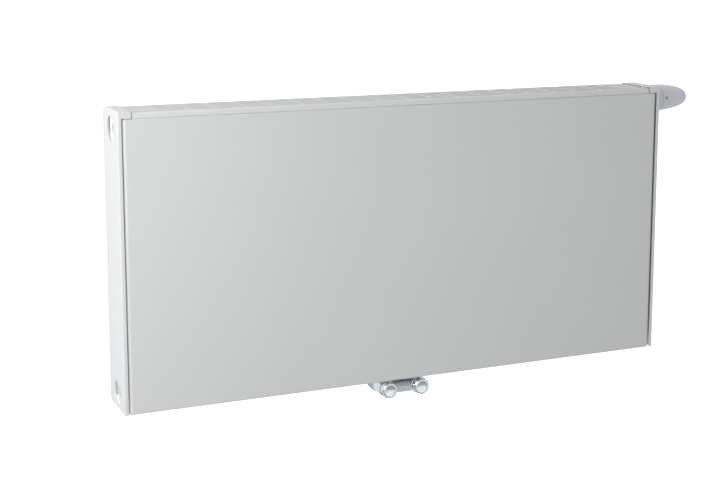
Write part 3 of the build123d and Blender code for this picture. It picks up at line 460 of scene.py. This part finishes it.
# ---------------------------------------------------------------- camera, floor, world and lights
def camera():
    data = bpy.data.cameras.new("camera")
    data.lens = 69.78
    data.sensor_width = 36
    data.shift_y = -0.1033
    data.clip_end = 50
    obj = bpy.data.objects.new("camera", data)
    obj.location = (-0.8234, -1.8236, 0.4094)
    yaw, pitch = 23.337, 9.013  # degrees to the right and down
    obj.rotation_euler = (math.radians(90 - pitch), 0, math.radians(-yaw))
    bpy.context.scene.collection.objects.link(obj)
    bpy.context.scene.camera = obj


SKY_LEVEL = 0.55
SKY_SLOPE = (0.0, 0.3, 0.0)  # how much the level grows along x, y and z


def world():
    """White studio: pure white where the camera sees it, a soft sky of uneven brightness as a light."""
    made = bpy.data.worlds.new("studio")
    bpy.context.scene.world = made
    made.use_nodes = True
    tree = made.node_tree
    nodes, links = tree.nodes, tree.links
    nodes.clear()
    coords = nodes.new("ShaderNodeTexCoord")
    slope = nodes.new("ShaderNodeVectorMath")
    slope.operation = "DOT_PRODUCT"
    links.new(coords.outputs["Generated"], slope.inputs[0])
    slope.inputs[1].default_value = SKY_SLOPE
    level = nodes.new("ShaderNodeMath")
    level.inputs[1].default_value = SKY_LEVEL
    links.new(slope.outputs["Value"], level.inputs[0])
    light = nodes.new("ShaderNodeBackground")
    light.inputs["Color"].default_value = (0.965, 0.985, 1.0, 1)
    links.new(level.outputs["Value"], light.inputs["Strength"])
    white = nodes.new("ShaderNodeBackground")
    white.inputs["Color"].default_value = (1, 1, 1, 1)
    white.inputs["Strength"].default_value = 1.02
    mix = nodes.new("ShaderNodeMixShader")
    path = nodes.new("ShaderNodeLightPath")
    links.new(path.outputs["Is Camera Ray"], mix.inputs["Fac"])
    links.new(light.outputs["Background"], mix.inputs[1])
    links.new(white.outputs["Background"], mix.inputs[2])
    out = nodes.new("ShaderNodeOutputWorld")
    links.new(mix.outputs["Shader"], out.inputs["Surface"])


FLOOR_Z = -0.62


def floor():
    """Pale floor that the camera sees, but that casts no light or shade on the object."""
    material, _, _, shader = shading("floor")
    shader.inputs["Base Color"].default_value = (0.86, 0.86, 0.86, 1)
    shader.inputs["Roughness"].default_value = 0.9
    shader.inputs["Emission Color"].default_value = (1, 1, 1, 1)
    shader.inputs["Emission Strength"].default_value = 0.9
    bm = bmesh.new()
    bmesh.ops.create_grid(bm, x_segments=2, y_segments=2, size=30)
    bmesh.ops.translate(bm, vec=(0, 0, FLOOR_Z), verts=bm.verts)
    mesh = bpy.data.meshes.new("floor")
    bm.to_mesh(mesh)
    bm.free()
    mesh.materials.append(material)
    obj = bpy.data.objects.new("floor", mesh)
    bpy.context.scene.collection.objects.link(obj)
    obj.visible_diffuse = False
    obj.visible_glossy = False
    obj.visible_shadow = False


def area_light(name, place, target, size, power):
    data = bpy.data.lights.new(name, "AREA")
    data.shape = "RECTANGLE"
    data.size, data.size_y = size
    data.energy = power
    obj = bpy.data.objects.new(name, data)
    obj.location = place
    obj.rotation_euler = (Vector(target) - Vector(place)).to_track_quat("-Z", "Y").to_euler()
    obj.visible_camera = False
    bpy.context.scene.collection.objects.link(obj)


LIGHTS = {  # place, target, size in metres, power in watts
    "key": ((-1.4, -0.75, 0.4), (-0.4, 0, 0), (0.6, 0.6), 7.7),
    "front": ((-0.95, -1.0, 0.35), (-0.3, 0, 0), (0.7, 0.7), 3.3),
    "top": ((-0.9, -0.1, 1.1), (-0.1, 0, 0.1), (0.9, 0.9), 2.6),
    "fill": ((0.95, -2.1, -0.35), (0.0, 0, -0.2), (1.9, 1.3), 5.2),
}


def lights():
    for name, (place, target, size, power) in LIGHTS.items():
        area_light(name, place, target, size, power)


camera()
world()
floor()
lights()
bpy.context.scene.view_settings.view_transform = "Standard"


# ---------------------------------------------------------------- front plate
PLATE_DEPTH = 8.5
PLATE_SHEET = 1.5
PLATE_END_RADIUS = 5.6
PLATE_RIM_RADIUS = 2.2


def lies_at(edge, axis, value):
    """Whether both ends of an edge have a coordinate at a value."""
    return all(abs(vert.co[axis] - value) < 1e-3 for vert in edge.verts)


def front_plate():
    """Flat sheet with rounded ends and a folded rim, 1.5 mm thick."""
    bm = box((-HALF_PLATE, 0, 0), (HALF_PLATE, PLATE_DEPTH, PLATE_TOP))
    back = [face for face in bm.faces if face.normal.y > 0.5]
    bmesh.ops.delete(bm, geom=back, context="FACES_ONLY")
    rounding = {"profile": 0.5, "affect": "EDGES", "clamp_overlap": False}
    ends = [edge for edge in bm.edges if lies_at(edge, 1, 0)
            and (lies_at(edge, 0, -HALF_PLATE) or lies_at(edge, 0, HALF_PLATE))]
    bmesh.ops.bevel(bm, geom=ends, offset=PLATE_END_RADIUS, segments=10, **rounding)
    rims = [edge for edge in bm.edges if (lies_at(edge, 2, 0) or lies_at(edge, 2, PLATE_TOP))
            and edge.is_manifold
            and abs(edge.link_faces[0].normal.z - edge.link_faces[1].normal.z) > 0.5]
    bmesh.ops.bevel(bm, geom=rims, offset=PLATE_RIM_RADIUS, segments=6, **rounding)
    obj = temporary(bm)
    solid = obj.modifiers.new("sheet", "SOLIDIFY")
    solid.thickness = PLATE_SHEET
    solid.offset = -1
    solid.use_even_offset = True
    return finished(obj)


piece("front_plate_sheet", front_plate(), "plate_white", replaces=["front_plate"], sharp=40)


# ---------------------------------------------------------------- top grille
GRILLE_Z = 397.9
GRILLE_HALF = 390.6
GRILLE_Y = (0.8, 80.0)
GRILLE_LOW_Z = (390.2, 383.0)  # lower edges at the front and the rear
GRILLE_SHEET = 1.0
GRILLE_ROWS = 6
GRILLE_COLUMNS = 10
GRILLE_MARGIN = 5.0
SLOT_WIDTH = 5.6
SLOT_GAP = 6.0


def slot_outline(length, width, steps=8):
    """Long hole with round ends, about its own middle."""
    points = []
    for side in (1, -1):
        for i in range(steps + 1):
            angle = side * math.pi / 2 - math.pi * i / steps
            points.append((side * (length - width) / 2 + math.cos(angle) * width / 2,
                           math.sin(angle) * width / 2))
    return points


def top_grille():
    """Folded cover sheet with rows of long punched holes."""
    front, rear = GRILLE_Y
    front_low, rear_low = GRILLE_LOW_Z
    t = GRILLE_SHEET
    outside = [(front, front_low), (front, GRILLE_Z), (rear, GRILLE_Z), (rear, rear_low)]
    inside = [(rear - t, rear_low), (rear - t, GRILLE_Z - t), (front + t, GRILLE_Z - t),
              (front + t, front_low)]
    outline = rounded(outside + inside, [0, 2.5, 2.5, 0, 0, 1.5, 1.5, 0], 6)
    bm = prism(outline, (-GRILLE_HALF, 0, 0), X * 2 * GRILLE_HALF, Y, Z)
    pitch_x = 2 * GRILLE_HALF / GRILLE_COLUMNS
    pitch_y = (rear - front - 2 * GRILLE_MARGIN) / GRILLE_ROWS
    slots = []
    for row in range(GRILLE_ROWS):
        y = front + GRILLE_MARGIN + (row + 0.5) * pitch_y
        for column in range(GRILLE_COLUMNS - row % 2):
            x = -GRILLE_HALF + (column + 0.5 + row % 2 / 2) * pitch_x
            hole = slot_outline(pitch_x - SLOT_GAP, SLOT_WIDTH)
            slots.append(prism(hole, (x, y, GRILLE_Z - 3), Z * 5, X, Y))
    return boolean(bm, [joined(slots)])


piece("top_grille_sheet", top_grille(), "cover_white", replaces=["top_grille"], bevel=0.22,
      bevel_angle=60)


# ---------------------------------------------------------------- side covers
COVER_SHEET = 1.2
COVER_RADIUS = 14.0  # upper corner by the wall
COVER_RIM = 1.8  # rounding of the outer face's edge
COVER_CAP_WIDTH = 18.0
COVER_SIDE_WIDTH = 10.0
COVER_FLANGE_WIDTH = 5.2
COVER_FLANGE_DEPTH = 4.2
COVER_CAP_LOW_Z = 390.5
COVER_REAR_LIP_Y = 68.0
LOW_HOLE_RADIUS = 16.5
HEAD_HOLE_RADIUS = 18.5


def cover_outline(inset, low=0.0, steps=10):
    """End view of a cover: rounded at its upper corner by the wall."""
    radius = COVER_RADIUS - inset
    points = [(inset, low), (DEPTH - inset, low)]
    centre = (DEPTH - COVER_RADIUS, TOP_Z - COVER_RADIUS)
    for i in range(steps + 1):
        angle = math.pi / 2 * i / steps
        points.append((centre[0] + radius * math.cos(angle), centre[1] + radius * math.sin(angle)))
    points.append((inset, TOP_Z - inset))
    return points


def side_cover(high_hole_z, high_hole_radius):
    """Right-hand cover of folded sheet; the left one is its mirror image."""
    bm = bmesh.new()
    rim = COVER_RIM
    stations = [(END_X - COVER_CAP_WIDTH, 0.0), (END_X - rim, 0.0)]
    for i in range(1, 7):
        angle = math.pi / 2 * i / 6
        stations.append((END_X - rim + rim * math.sin(angle), rim * (1 - math.cos(angle))))
    rings = []
    for x, inset in stations:
        rings.append([bm.verts.new((x, y, z)) for y, z in cover_outline(inset)])
    for first, second in zip(rings, rings[1:]):
        ring_faces(bm, first, second)
    bm.faces.new(rings[0])
    bm.faces.new(rings[-1])
    bmesh.ops.recalc_face_normals(bm, faces=bm.faces)
    t = COVER_SHEET
    start_x = END_X - 20
    side_x = END_X - COVER_SIDE_WIDTH
    foot = rounded([(29, -2), (37, -2), (37, 5), (29, 5)], [0, 0, 3.4, 3.4], 6)
    turn = [math.pi / 2 * i / 8 for i in range(9)]
    heel = [(74 + 8 * math.sin(angle), 8 - 8 * math.cos(angle)) for angle in turn]
    heel += [(84, 8), (84, -2), (74, -2)]
    cuts = [
        prism(cover_outline(t, low=-1.0), (start_x, 0, 0), X * (20 - t), Y, Z),
        box((start_x, -1, -1), (END_X - COVER_FLANGE_WIDTH, COVER_FLANGE_DEPTH, COVER_CAP_LOW_Z)),
        box((start_x, COVER_FLANGE_DEPTH, -1), (side_x, DEPTH + 1, 372)),
        box((start_x, COVER_REAR_LIP_Y, 370.8), (side_x, DEPTH + 1, 390.8)),
        prism(foot, (END_X - 12, 0, 0), X * 14, Y, Z),
        prism(heel, (END_X - 12, 0, 0), X * 14, Y, Z),
    ]
    bm = boolean(bm, cuts)
    for z, radius in ((LOW_Z, LOW_HOLE_RADIUS), (high_hole_z, high_hole_radius)):
        bm = boolean(bm, [rod((END_X - 4, AXIS_Y, z), (END_X + 1, AXIS_Y, z), radius + 0.6, 72)])
        outer = radius + 1.2
        lip = rounded([(0, outer), (-1.8, outer), (-1.8, radius), (1.2, radius), (1.2, outer)],
                      [0, 0.3, 0.3, 0.7, 0], 4)
        bm = boolean(bm, [turned(lip, (END_X - t, AXIS_Y, z), X, 72, loop=True)], "UNION")
    return bm


left = mirrored(side_cover(HIGH_Z, LOW_HOLE_RADIUS))
right = side_cover(HEAD_Z, HEAD_HOLE_RADIUS)
piece("side_cover_left_sheet", left, "cover_white", replaces=["side_cover_left"], bevel=0.2)
piece("side_cover_right_sheet", right, "cover_white", replaces=["side_cover_right"], bevel=0.2)


# ---------------------------------------------------------------- thermostatic head
def head_dial_profile():
    """Smooth (x, radius) line from the split to the blunt tip."""
    keys = np.array([(HEAD_SPLIT_X, HEAD_RADIUS), (438, 19.75), (445, 19.2), (452, 18.3), (459, 17.2),
                     (465, 15.9), (470, 14.4), (474, 12.8), (477.5, 10.8), (480.3, 8.3), (482.2, 5.3),
                     (HEAD_TIP_X, 2.4), (HEAD_TIP_X, 0.0)])
    points = []
    for i in range(len(keys) - 1):
        p0, p1 = keys[max(i - 1, 0)], keys[i]
        p2, p3 = keys[i + 1], keys[min(i + 2, len(keys) - 1)]
        for t in np.linspace(0, 1, 6, endpoint=False):
            points.append(0.5 * (2 * p1 + (p2 - p0) * t + (2 * p0 - 5 * p1 + 4 * p2 - p3) * t * t
                                 + (3 * p1 - p0 - 3 * p2 + p3) * t ** 3))
    return [(min(float(x), HEAD_TIP_X), float(r)) for x, r in points] + [(HEAD_TIP_X, 0.0)]


def head_dial():
    """Turning cap: smooth bullet shape, hollow for the sensor."""
    outside = head_dial_profile()
    inside = [(x - 2.6, max(r - 3.2, 0.0)) for x, r in outside if x > 441]
    inside[-1] = (inside[-1][0], 0.0)
    profile = [(HEAD_SPLIT_X, 16.66), (HEAD_SPLIT_X, 19.55), (431.45, 19.95)] + outside[1:]
    profile += inside[::-1]
    profile += [(437.4, 16.66)]
    return turned(profile, (0, AXIS_Y, HEAD_Z), X, 96, loop=True)


def head_base():
    """Fixed collar with a fine groove, and the guide that the dial turns on."""
    full = HEAD_RADIUS
    skin = [(411.5, 17.6), (412.1, 18.8), (413.4, 19.5), (422.6, 19.5), (422.6, full), (425.2, full),
            (425.5, 19.6), (425.9, 19.6), (426.2, full), (430.2, full), (430.6, 19.6)]
    guide = [(430.6, 16.6), (437.0, 16.6), (437.0, 14.6), (419.0, 14.6)]
    neck = [(419.0, 3.06), (416.0, 3.06), (416.0, 9.0), (408.4, 9.0), (408.4, 13.6), (411.5, 13.6)]
    return turned(skin + guide + neck, (0, AXIS_Y, HEAD_Z), X, 96, loop=True)


def dial_marker():
    """Small round marker set into the dial's skin, facing forward."""
    direction = Vector((0.05, -1, 0.04)).normalized()
    origin = Vector((435.6, AXIS_Y, HEAD_Z)) + direction * 19.2
    profile = [(0, 0), (0, 1.9), (0.9, 1.9), (1.1, 1.7), (1.15, 1.2), (1.05, 0)]
    return turned(profile, origin, direction, 32)


piece("thermostat_dial", head_dial(), "head_plastic", body="head_dial", replaces=["head_dial"],
      sharp=40)
piece("thermostat_base", head_base(), "head_plastic", replaces=["head_base"], sharp=30)
marker = piece("dial_marker", dial_marker(), "head_plastic", body="head_dial", sharp=40)
marker.data.materials[0] = MATERIAL["marker_grey"]


def union_ring():
    """Ring with a ribbed grip that pulls the head onto the valve."""
    profile = [(398.6, 15.0), (398.6, 16.9), (399.1, 17.4), (410.5, 17.4), (411.0, 16.9), (411.0, 13.7),
               (408.2, 13.7), (408.2, 15.0)]

    def ribs(angle, along, radius):
        if radius < 17.3:
            return radius
        return radius - 0.45 * max(0.0, math.cos(36 * angle))
    return turned(profile, (0, AXIS_Y, HEAD_Z), X, 288, loop=True, radius_at=ribs)


piece("thermostat_union_ring", union_ring(), "nickel", replaces=["head_union_ring"], sharp=40)


# ---------------------------------------------------------------- air vent
VENT_FACE_X = -400.0


def vent_plug():
    """Round brass plug with two key slots and a bleed hole beside the screw."""
    face = VENT_FACE_X
    shank = [(-10.0, 1.0), (-10.0, 9.27), (0.0, 9.27), (0.0, 9.2), (1.2, 9.2)]
    flange = [(1.2, 12.8), (4.2, 12.8), (4.2, 6.4), (3.5, 5.6)]
    way = [(3.5, 3.26), (-7.0, 3.26), (-7.0, 1.0)]
    radii = [0, 0.4, 0, 0, 0, 0.4, 0.7, 0.4, 0.3, 0.3, 0, 0]
    profile = rounded(shank + flange + way, radii, 4)
    bm = turned(profile, (face, AXIS_Y, HIGH_Z), -X, 80, loop=True)
    cuts = []
    for side in (-10.6, 10.6):
        z = HIGH_Z + side
        cuts.append(box((face - 4.4, AXIS_Y - 1.1, z - 1.9), (face - 3.0, AXIS_Y + 1.1, z + 1.9)))
    bleed_y = AXIS_Y + 7.8
    cuts.append(rod((face - 5, bleed_y, HIGH_Z), (face - 1.8, bleed_y, HIGH_Z), 0.9, 24))
    return boolean(bm, cuts)


def vent_screw():
    """Bleed screw with a square key end."""
    face = VENT_FACE_X
    profile = [(-6.6, 0), (-6.6, 1.4), (-5.2, 3.2), (3.2, 3.2), (3.2, 0)]
    profile = rounded(profile, [0, 0, 0.3, 0.4, 0], 3, False)
    shank = turned(profile, (face, AXIS_Y, HIGH_Z), -X, 48)
    half = 2.2
    key = box((face - 6.2, AXIS_Y - half, HIGH_Z - half), (face - 3.0, AXIS_Y + half, HIGH_Z + half),
              0.3, 2)
    return boolean(shank, [key], "UNION")


piece("vent_plug_turned", vent_plug(), "brass", replaces=["air_vent_plug"])
piece("vent_key_screw", vent_screw(), "brass", body="vent_screw", replaces=["vent_screw"])


# ---------------------------------------------------------------- low connectors
def low_connector():
    """Right-hand connector: tapped hub through the cover, cross tube and two sockets facing down."""
    inner_x, hub_x = SOCKET_XS
    face = 406.5
    hub = rod((hub_x, AXIS_Y, LOW_Z), (face - 1.0, AXIS_Y, LOW_Z), 15.2, 72)
    parts = [rod((hub_x, 20.5, LOW_Z), (hub_x, 59.5, LOW_Z), 11),
             rod((inner_x, AXIS_Y, LOW_Z + 6), (hub_x, AXIS_Y, LOW_Z + 6), 11)]
    for x in SOCKET_XS:
        parts.append(rod((x, AXIS_Y, 5.5), (x, AXIS_Y, 34), 13.0, 56))
    bm = boolean(hub, parts, "UNION")
    bm = boolean(bm, [box((hub_x - 14, 0, -4), (hub_x + 14, DEPTH, 5.5))])
    tip = rounded([(-3.0, 9.0), (-3.0, 15.2), (0.0, 15.2), (0.0, 9.0)], [0, 0, 0.9, 0], 5)
    bm = boolean(bm, [turned(tip, (face, AXIS_Y, LOW_Z), X, 72, loop=True)], "UNION")
    start, end = 1.4, 15.0
    bore = [(-0.4, 0), (-0.4, 11.1), (0.0, 10.72)]
    bore += [(along, TAPPING_RADIUS) for along in thread_profile(start, end)]
    bore += [(15.0, 6.5), (34, 6.5), (34, 0)]
    thread = inner_thread(TAPPING_RADIUS, 1.0, start, end)
    bm = boolean(bm, [turned(bore, (face, AXIS_Y, LOW_Z), -X, 72, radius_at=thread)])
    for x in SOCKET_XS:
        bm = boolean(bm, [rod((x, AXIS_Y, 4), (x, AXIS_Y, 17.5), TAPPING_RADIUS)])
    return bm


connector = low_connector()
piece("low_connector_left_cast", mirrored(connector), "panel_white", replaces=["low_connector_left"])
piece("low_connector_right_cast", connector, "panel_white", replaces=["low_connector_right"])


# ---------------------------------------------------------------- shut-off block
def block_shape():
    """Forged block with softened joins, then the machined seats and ways."""
    parts = []
    for x in WAYS:
        radius = BARREL_RADIUS
        barrel = [(20.0, 0), (20.0, 12.0), (20.5, radius), (AXIS_Y, radius)]
        for i in range(1, 10):
            angle = math.pi / 2 * i / 10
            barrel.append((AXIS_Y + radius * math.sin(angle), radius * math.cos(angle)))
        barrel.append((AXIS_Y + radius, 0.0))
        parts.append(turned(barrel, (x, 0, BLOCK_Z), Y, 72))
        parts.append(rod((x, AXIS_Y, BLOCK_Z), (x, 53, BLOCK_Z), 11))
        parts.append(rod((x, AXIS_Y, BLOCK_Z), (x, AXIS_Y, 9.5), 9.4))
    bar = rounded(hexagon(BAR_FLATS), 0.9, 3)
    body = prism(bar, (WAYS[0], BAR_Y, BLOCK_Z), X * (WAYS[1] - WAYS[0]), Y, Z)
    body = boolean(body, parts, "UNION")
    obj = temporary(body)
    remesh = obj.modifiers.new("forged", "REMESH")
    remesh.mode = "VOXEL"
    remesh.voxel_size = 0.55
    smooth = obj.modifiers.new("soft", "SMOOTH")
    smooth.factor = 0.5
    smooth.iterations = 6
    body = finished(obj)
    fittings = []
    for x in WAYS:
        collar = rounded([(8.3, 0), (8.3, 12.2), (11.3, 12.2), (11.3, 0)], [0, 0.5, 0.5, 0], 3, False)
        fittings.append(turned(collar, (x, AXIS_Y, 0), Z, 64))
        neck = [(50.0, 0), (50.0, 11.0), (52.0, 12.2)]
        neck += [(along, OUTLET_THREAD_RADIUS) for along in thread_profile(52.0, 64.0)[1:-2]]
        neck += [(64.0, 12.4), (64.0, 0)]
        thread = outer_thread(OUTLET_THREAD_RADIUS, 1.0, 52.3, 63.4)
        fittings.append(turned(neck, (x, 0, BLOCK_Z), Y, 72, radius_at=thread))
    body = boolean(body, fittings, "UNION")
    cuts = []
    chamber = [(19, 0), (19, 9.6), (50.7, 9.6), (50.7, 0)]
    outlet = [(45, 0), (45, 6.5), (56, 6.5), (56, 8.0), (63.2, 8.0), (65, 9.2), (65, 0)]
    for x in WAYS:
        cuts.append(turned(chamber, (x, 0, BLOCK_Z), Y, 64))
        cuts.append(turned(outlet, (x, 0, BLOCK_Z), Y, 64))
        cuts.append(rod((x, AXIS_Y, BLOCK_Z), (x, AXIS_Y, 12), 5.5))
    return boolean(body, cuts)


piece("shutoff_block_forged", block_shape(), "nickel", replaces=["shutoff_block"], sharp=38)


CAP_FACE_Y = 10


def cap_shape(x, turn):
    """Hexagonal cap with a chamfered face, a dished centre and a turned rear edge."""
    profile = [(0.5, 0), (0.5, 6.4), (0.15, 7.2), (0.0, 8.0), (0.0, 9.6), (0.12, 10.05)]
    profile += [(0.12 + 1.5 * i / 10, 10.05 + 1.75 * i / 10) for i in range(1, 11)]
    profile += [(t, 11.88) for t in (2.4, 4.0, 6.0, 8.4)]
    profile += [(8.4 + 1.2 * i / 6, 11.88 - 1.0 * i / 6) for i in range(1, 7)]
    profile += [(9.6, 7.75), (3.4, 7.75), (3.4, 0)]
    return hex_solid(profile, CAP_FLATS, (x, CAP_FACE_Y, BLOCK_Z), Y, math.radians(turn))


piece("flow_cap_hex", cap_shape(WAYS[0], 30), "nickel", body="flow_cap", replaces=["flow_cap"],
      sharp=24)
piece("return_cap_hex", cap_shape(WAYS[1], 0), "nickel", body="return_cap", replaces=["return_cap"],
      sharp=24)


def union_nut(x):
    """Chamfered hexagon nut under the radiator's stub."""
    profile = [(4.8, 9.46), (4.8, 13.6)]
    profile += [(4.8 + 1.5 * i / 8, 13.6 + 3.8 * i / 8) for i in range(1, 9)]
    profile += [(t, 17.4) for t in (8.5, 11, 14, 16.5)]
    profile += [(16.5 + 1.5 * i / 8, 17.4 - 3.8 * i / 8) for i in range(1, 9)]
    profile += [(18.0, 13.26), (8.3, 13.26), (8.3, 9.46)]

    def radius_at(angle, along, radius):
        return min(radius, hexagon_radius(NUT_FLATS, angle)) if radius > 13.3 else radius
    return turned(profile, (x, AXIS_Y, 0), Z, 144, loop=True, radius_at=radius_at)


nuts = joined([union_nut(x) for x in WAYS])
piece("union_nuts_hex", nuts, "nickel", replaces=["union_nuts"], sharp=24)


# ---------------------------------------------------------------- rear water panel
PANEL_MIDDLE_Z = (LOW_Z + HIGH_Z) / 2
CHANNEL_PITCH = 33.2
CHANNELS = 23
RISE = 5.25
SEAM_Y = 59.5 + RISE
SHEET_HALF_X = 398.0
SHEET_Z = (4.0, 390.0)
WELD_PITCH = 36.0


def rounded_box_distance(x, z, half_x, half_z, radius):
    """Signed distance to a rounded rectangle, negative inside."""
    dx = np.abs(x) - (half_x - radius)
    dz = np.abs(z) - (half_z - radius)
    return np.hypot(np.maximum(dx, 0), np.maximum(dz, 0)) + np.minimum(np.maximum(dx, dz), 0) - radius


def panel_relief(x, z):
    """How far the pressed sheet stands out at a place, from 0 on the seams to 1 on the channels."""
    reach = HIGH_Z - PANEL_MIDDLE_Z
    half_x = (CHANNELS * CHANNEL_PITCH + 10) / 2
    inside = -rounded_box_distance(x, z - PANEL_MIDDLE_Z, half_x, reach + 12.5, 9)
    nearest = (np.round(x / CHANNEL_PITCH - 0.5) + 0.5) * CHANNEL_PITCH
    limit = CHANNEL_PITCH * (CHANNELS - 2) / 2
    nearest = np.clip(nearest, -limit, limit)
    island = rounded_box_distance(x - nearest, z - PANEL_MIDDLE_Z, 6, reach - 12.5, 5)
    distance = np.minimum(inside, island)
    t = np.clip(distance / 3.6, 0, 1)
    return t * t * (3 - 2 * t)


def weld_dimples(x, z):
    """Spot welds down the middle of every seam between two channels."""
    nearest = (np.round(x / CHANNEL_PITCH - 0.5) + 0.5) * CHANNEL_PITCH
    spot_z = np.round((z - PANEL_MIDDLE_Z) / WELD_PITCH) * WELD_PITCH
    distance = np.hypot(x - nearest, z - PANEL_MIDDLE_Z - spot_z)
    inside = (np.abs(z - PANEL_MIDDLE_Z) < 158) & (np.abs(x) < 360)
    spot = np.where(inside, np.clip(1 - distance / 3.4, 0, 1), 0)
    return 0.45 * np.sqrt(spot)


def rear_sheet():
    """Pressed outer sheet of the rear water panel."""
    half, thick = SHEET_HALF_X, 1.2
    low_z, high_z = SHEET_Z
    steps = {round(s * k, 3) for k in np.arange(0, half, 1.66) for s in (-1, 1)}
    xs = np.array(sorted(steps | {-half, half}))
    zs = np.array(sorted(set(np.round(np.arange(low_z, high_z, 2.0), 3)) | {high_z}))
    gx, gz = np.meshgrid(xs, zs, indexing="ij")
    outer = SEAM_Y + thick + (RISE - thick) * panel_relief(gx, gz) - weld_dimples(gx, gz)
    inner = np.maximum(outer - 1.15, SEAM_Y)
    columns, rows = gx.shape
    top = np.stack([gx, outer, gz], -1).reshape(-1, 3)
    low = np.stack([gx, inner, gz], -1).reshape(-1, 3)
    index = np.arange(columns * rows).reshape(columns, rows)
    quads = np.stack([index[:-1, :-1], index[1:, :-1], index[1:, 1:], index[:-1, 1:]], -1)
    quads = quads.reshape(-1, 4)
    count = columns * rows
    rim = []
    border = [*index[:, 0], *index[-1, 1:], *index[-2::-1, -1], *index[0, -2:0:-1]]
    for a, b in zip(border, border[1:] + border[:1]):
        rim.append((a, a + count, b + count, b))
    faces = [tuple(int(i) for i in q[::-1]) for q in quads]
    faces += [tuple(int(i) + count for i in q) for q in quads]
    faces += [tuple(int(i) for i in q) for q in rim]
    mesh = bpy.data.meshes.new("temporary")
    mesh.from_pydata(np.concatenate([top, low]).tolist(), [], faces)
    bm = bmesh.new()
    bm.from_mesh(mesh)
    bpy.data.meshes.remove(mesh)
    bmesh.ops.recalc_face_normals(bm, faces=bm.faces)
    return bm


piece("rear_panel_pressed_sheet", rear_sheet(), "panel_white", replaces=["rear_panel_back_sheet"],
      sharp=50)


# ---------------------------------------------------------------- hanging lugs
LUG_XS = (-300, 300)
LUG_ZS = (65, 335)


def hanging_lug(x, z):
    """Folded bracket with a hook throat, welded down both sides."""
    def folded(edge):
        verts = edge.verts
        return all(v.co.y > 81 for v in verts) and not all(v.co.z < z - 24 for v in verts)

    outside = box((x - 20, 70, z - 25), (x + 20, DEPTH, z + 25), 1.6, 3, folded)
    hollow = box((x - 17.5, 72.5, z - 27), (x + 17.5, DEPTH - 2.5, z + 22.5))
    corners = [(x - 9, z - 27), (x + 9, z - 27), (x + 9, z + 8), (x - 9, z + 8)]
    throat = rounded(corners, [0, 0, 3, 3], 5)
    bm = boolean(outside, [hollow, prism(throat, (0, DEPTH - 4, 0), Y * 8, X, Z)])
    beads = []
    for side in (-1, 1):
        for start in (-19, 7):
            bulges = [(start + i, 0.9 + 0.12 * math.sin(i * 2.1)) for i in range(13)]
            profile = [(start - 0.6, 0), *bulges, (start + 12.6, 0)]
            beads.append(turned(profile, (x + side * 20.1, 70.6, z), Z, 10))
    return joined([bm, *beads])


lugs = joined([hanging_lug(x, z) for x in LUG_XS for z in LUG_ZS])
piece("hanging_lugs_folded", lugs, "panel_white", replaces=["hanging_lugs"], sharp=36)


# ---------------------------------------------------------------- blind plugs
def blind_plug(x):
    """Screwed plug with a chamfered flange and a hexagon socket."""
    profile = [(1.5, 0), (1.5, 12.5), (4.3, 12.5), (4.3, 9.2), (5.5, 9.2), (5.5, 9.27), (14.5, 9.27),
               (14.5, 0)]
    profile = rounded(profile, [0, 0.7, 0.3, 0, 0, 0, 0.5, 0], 4, False)
    bm = turned(profile, (x, AXIS_Y, 0), Z, 64)
    return boolean(bm, [prism(hexagon(PLUG_KEY_FLATS), (x, AXIS_Y, 0), Z * 8.5, X, Y)])


inner_x, outer_x = SOCKET_XS
plugs = joined([blind_plug(x) for x in (-outer_x, -inner_x, inner_x, outer_x)])
piece("blind_plugs_turned", plugs, "nickel", replaces=["blind_plugs"], bevel=0.2)


# ---------------------------------------------------------------- CAD nodes that stay
def finish_cad_nodes():
    slots = {part["node"]: part["material_slot"] for part in frame["record"]["subparts"]}
    for name, obj in frame["nodes"].items():
        obj.data.materials.clear()
        obj.data.materials.append(MATERIAL[slots[name]])


finish_cad_nodes()
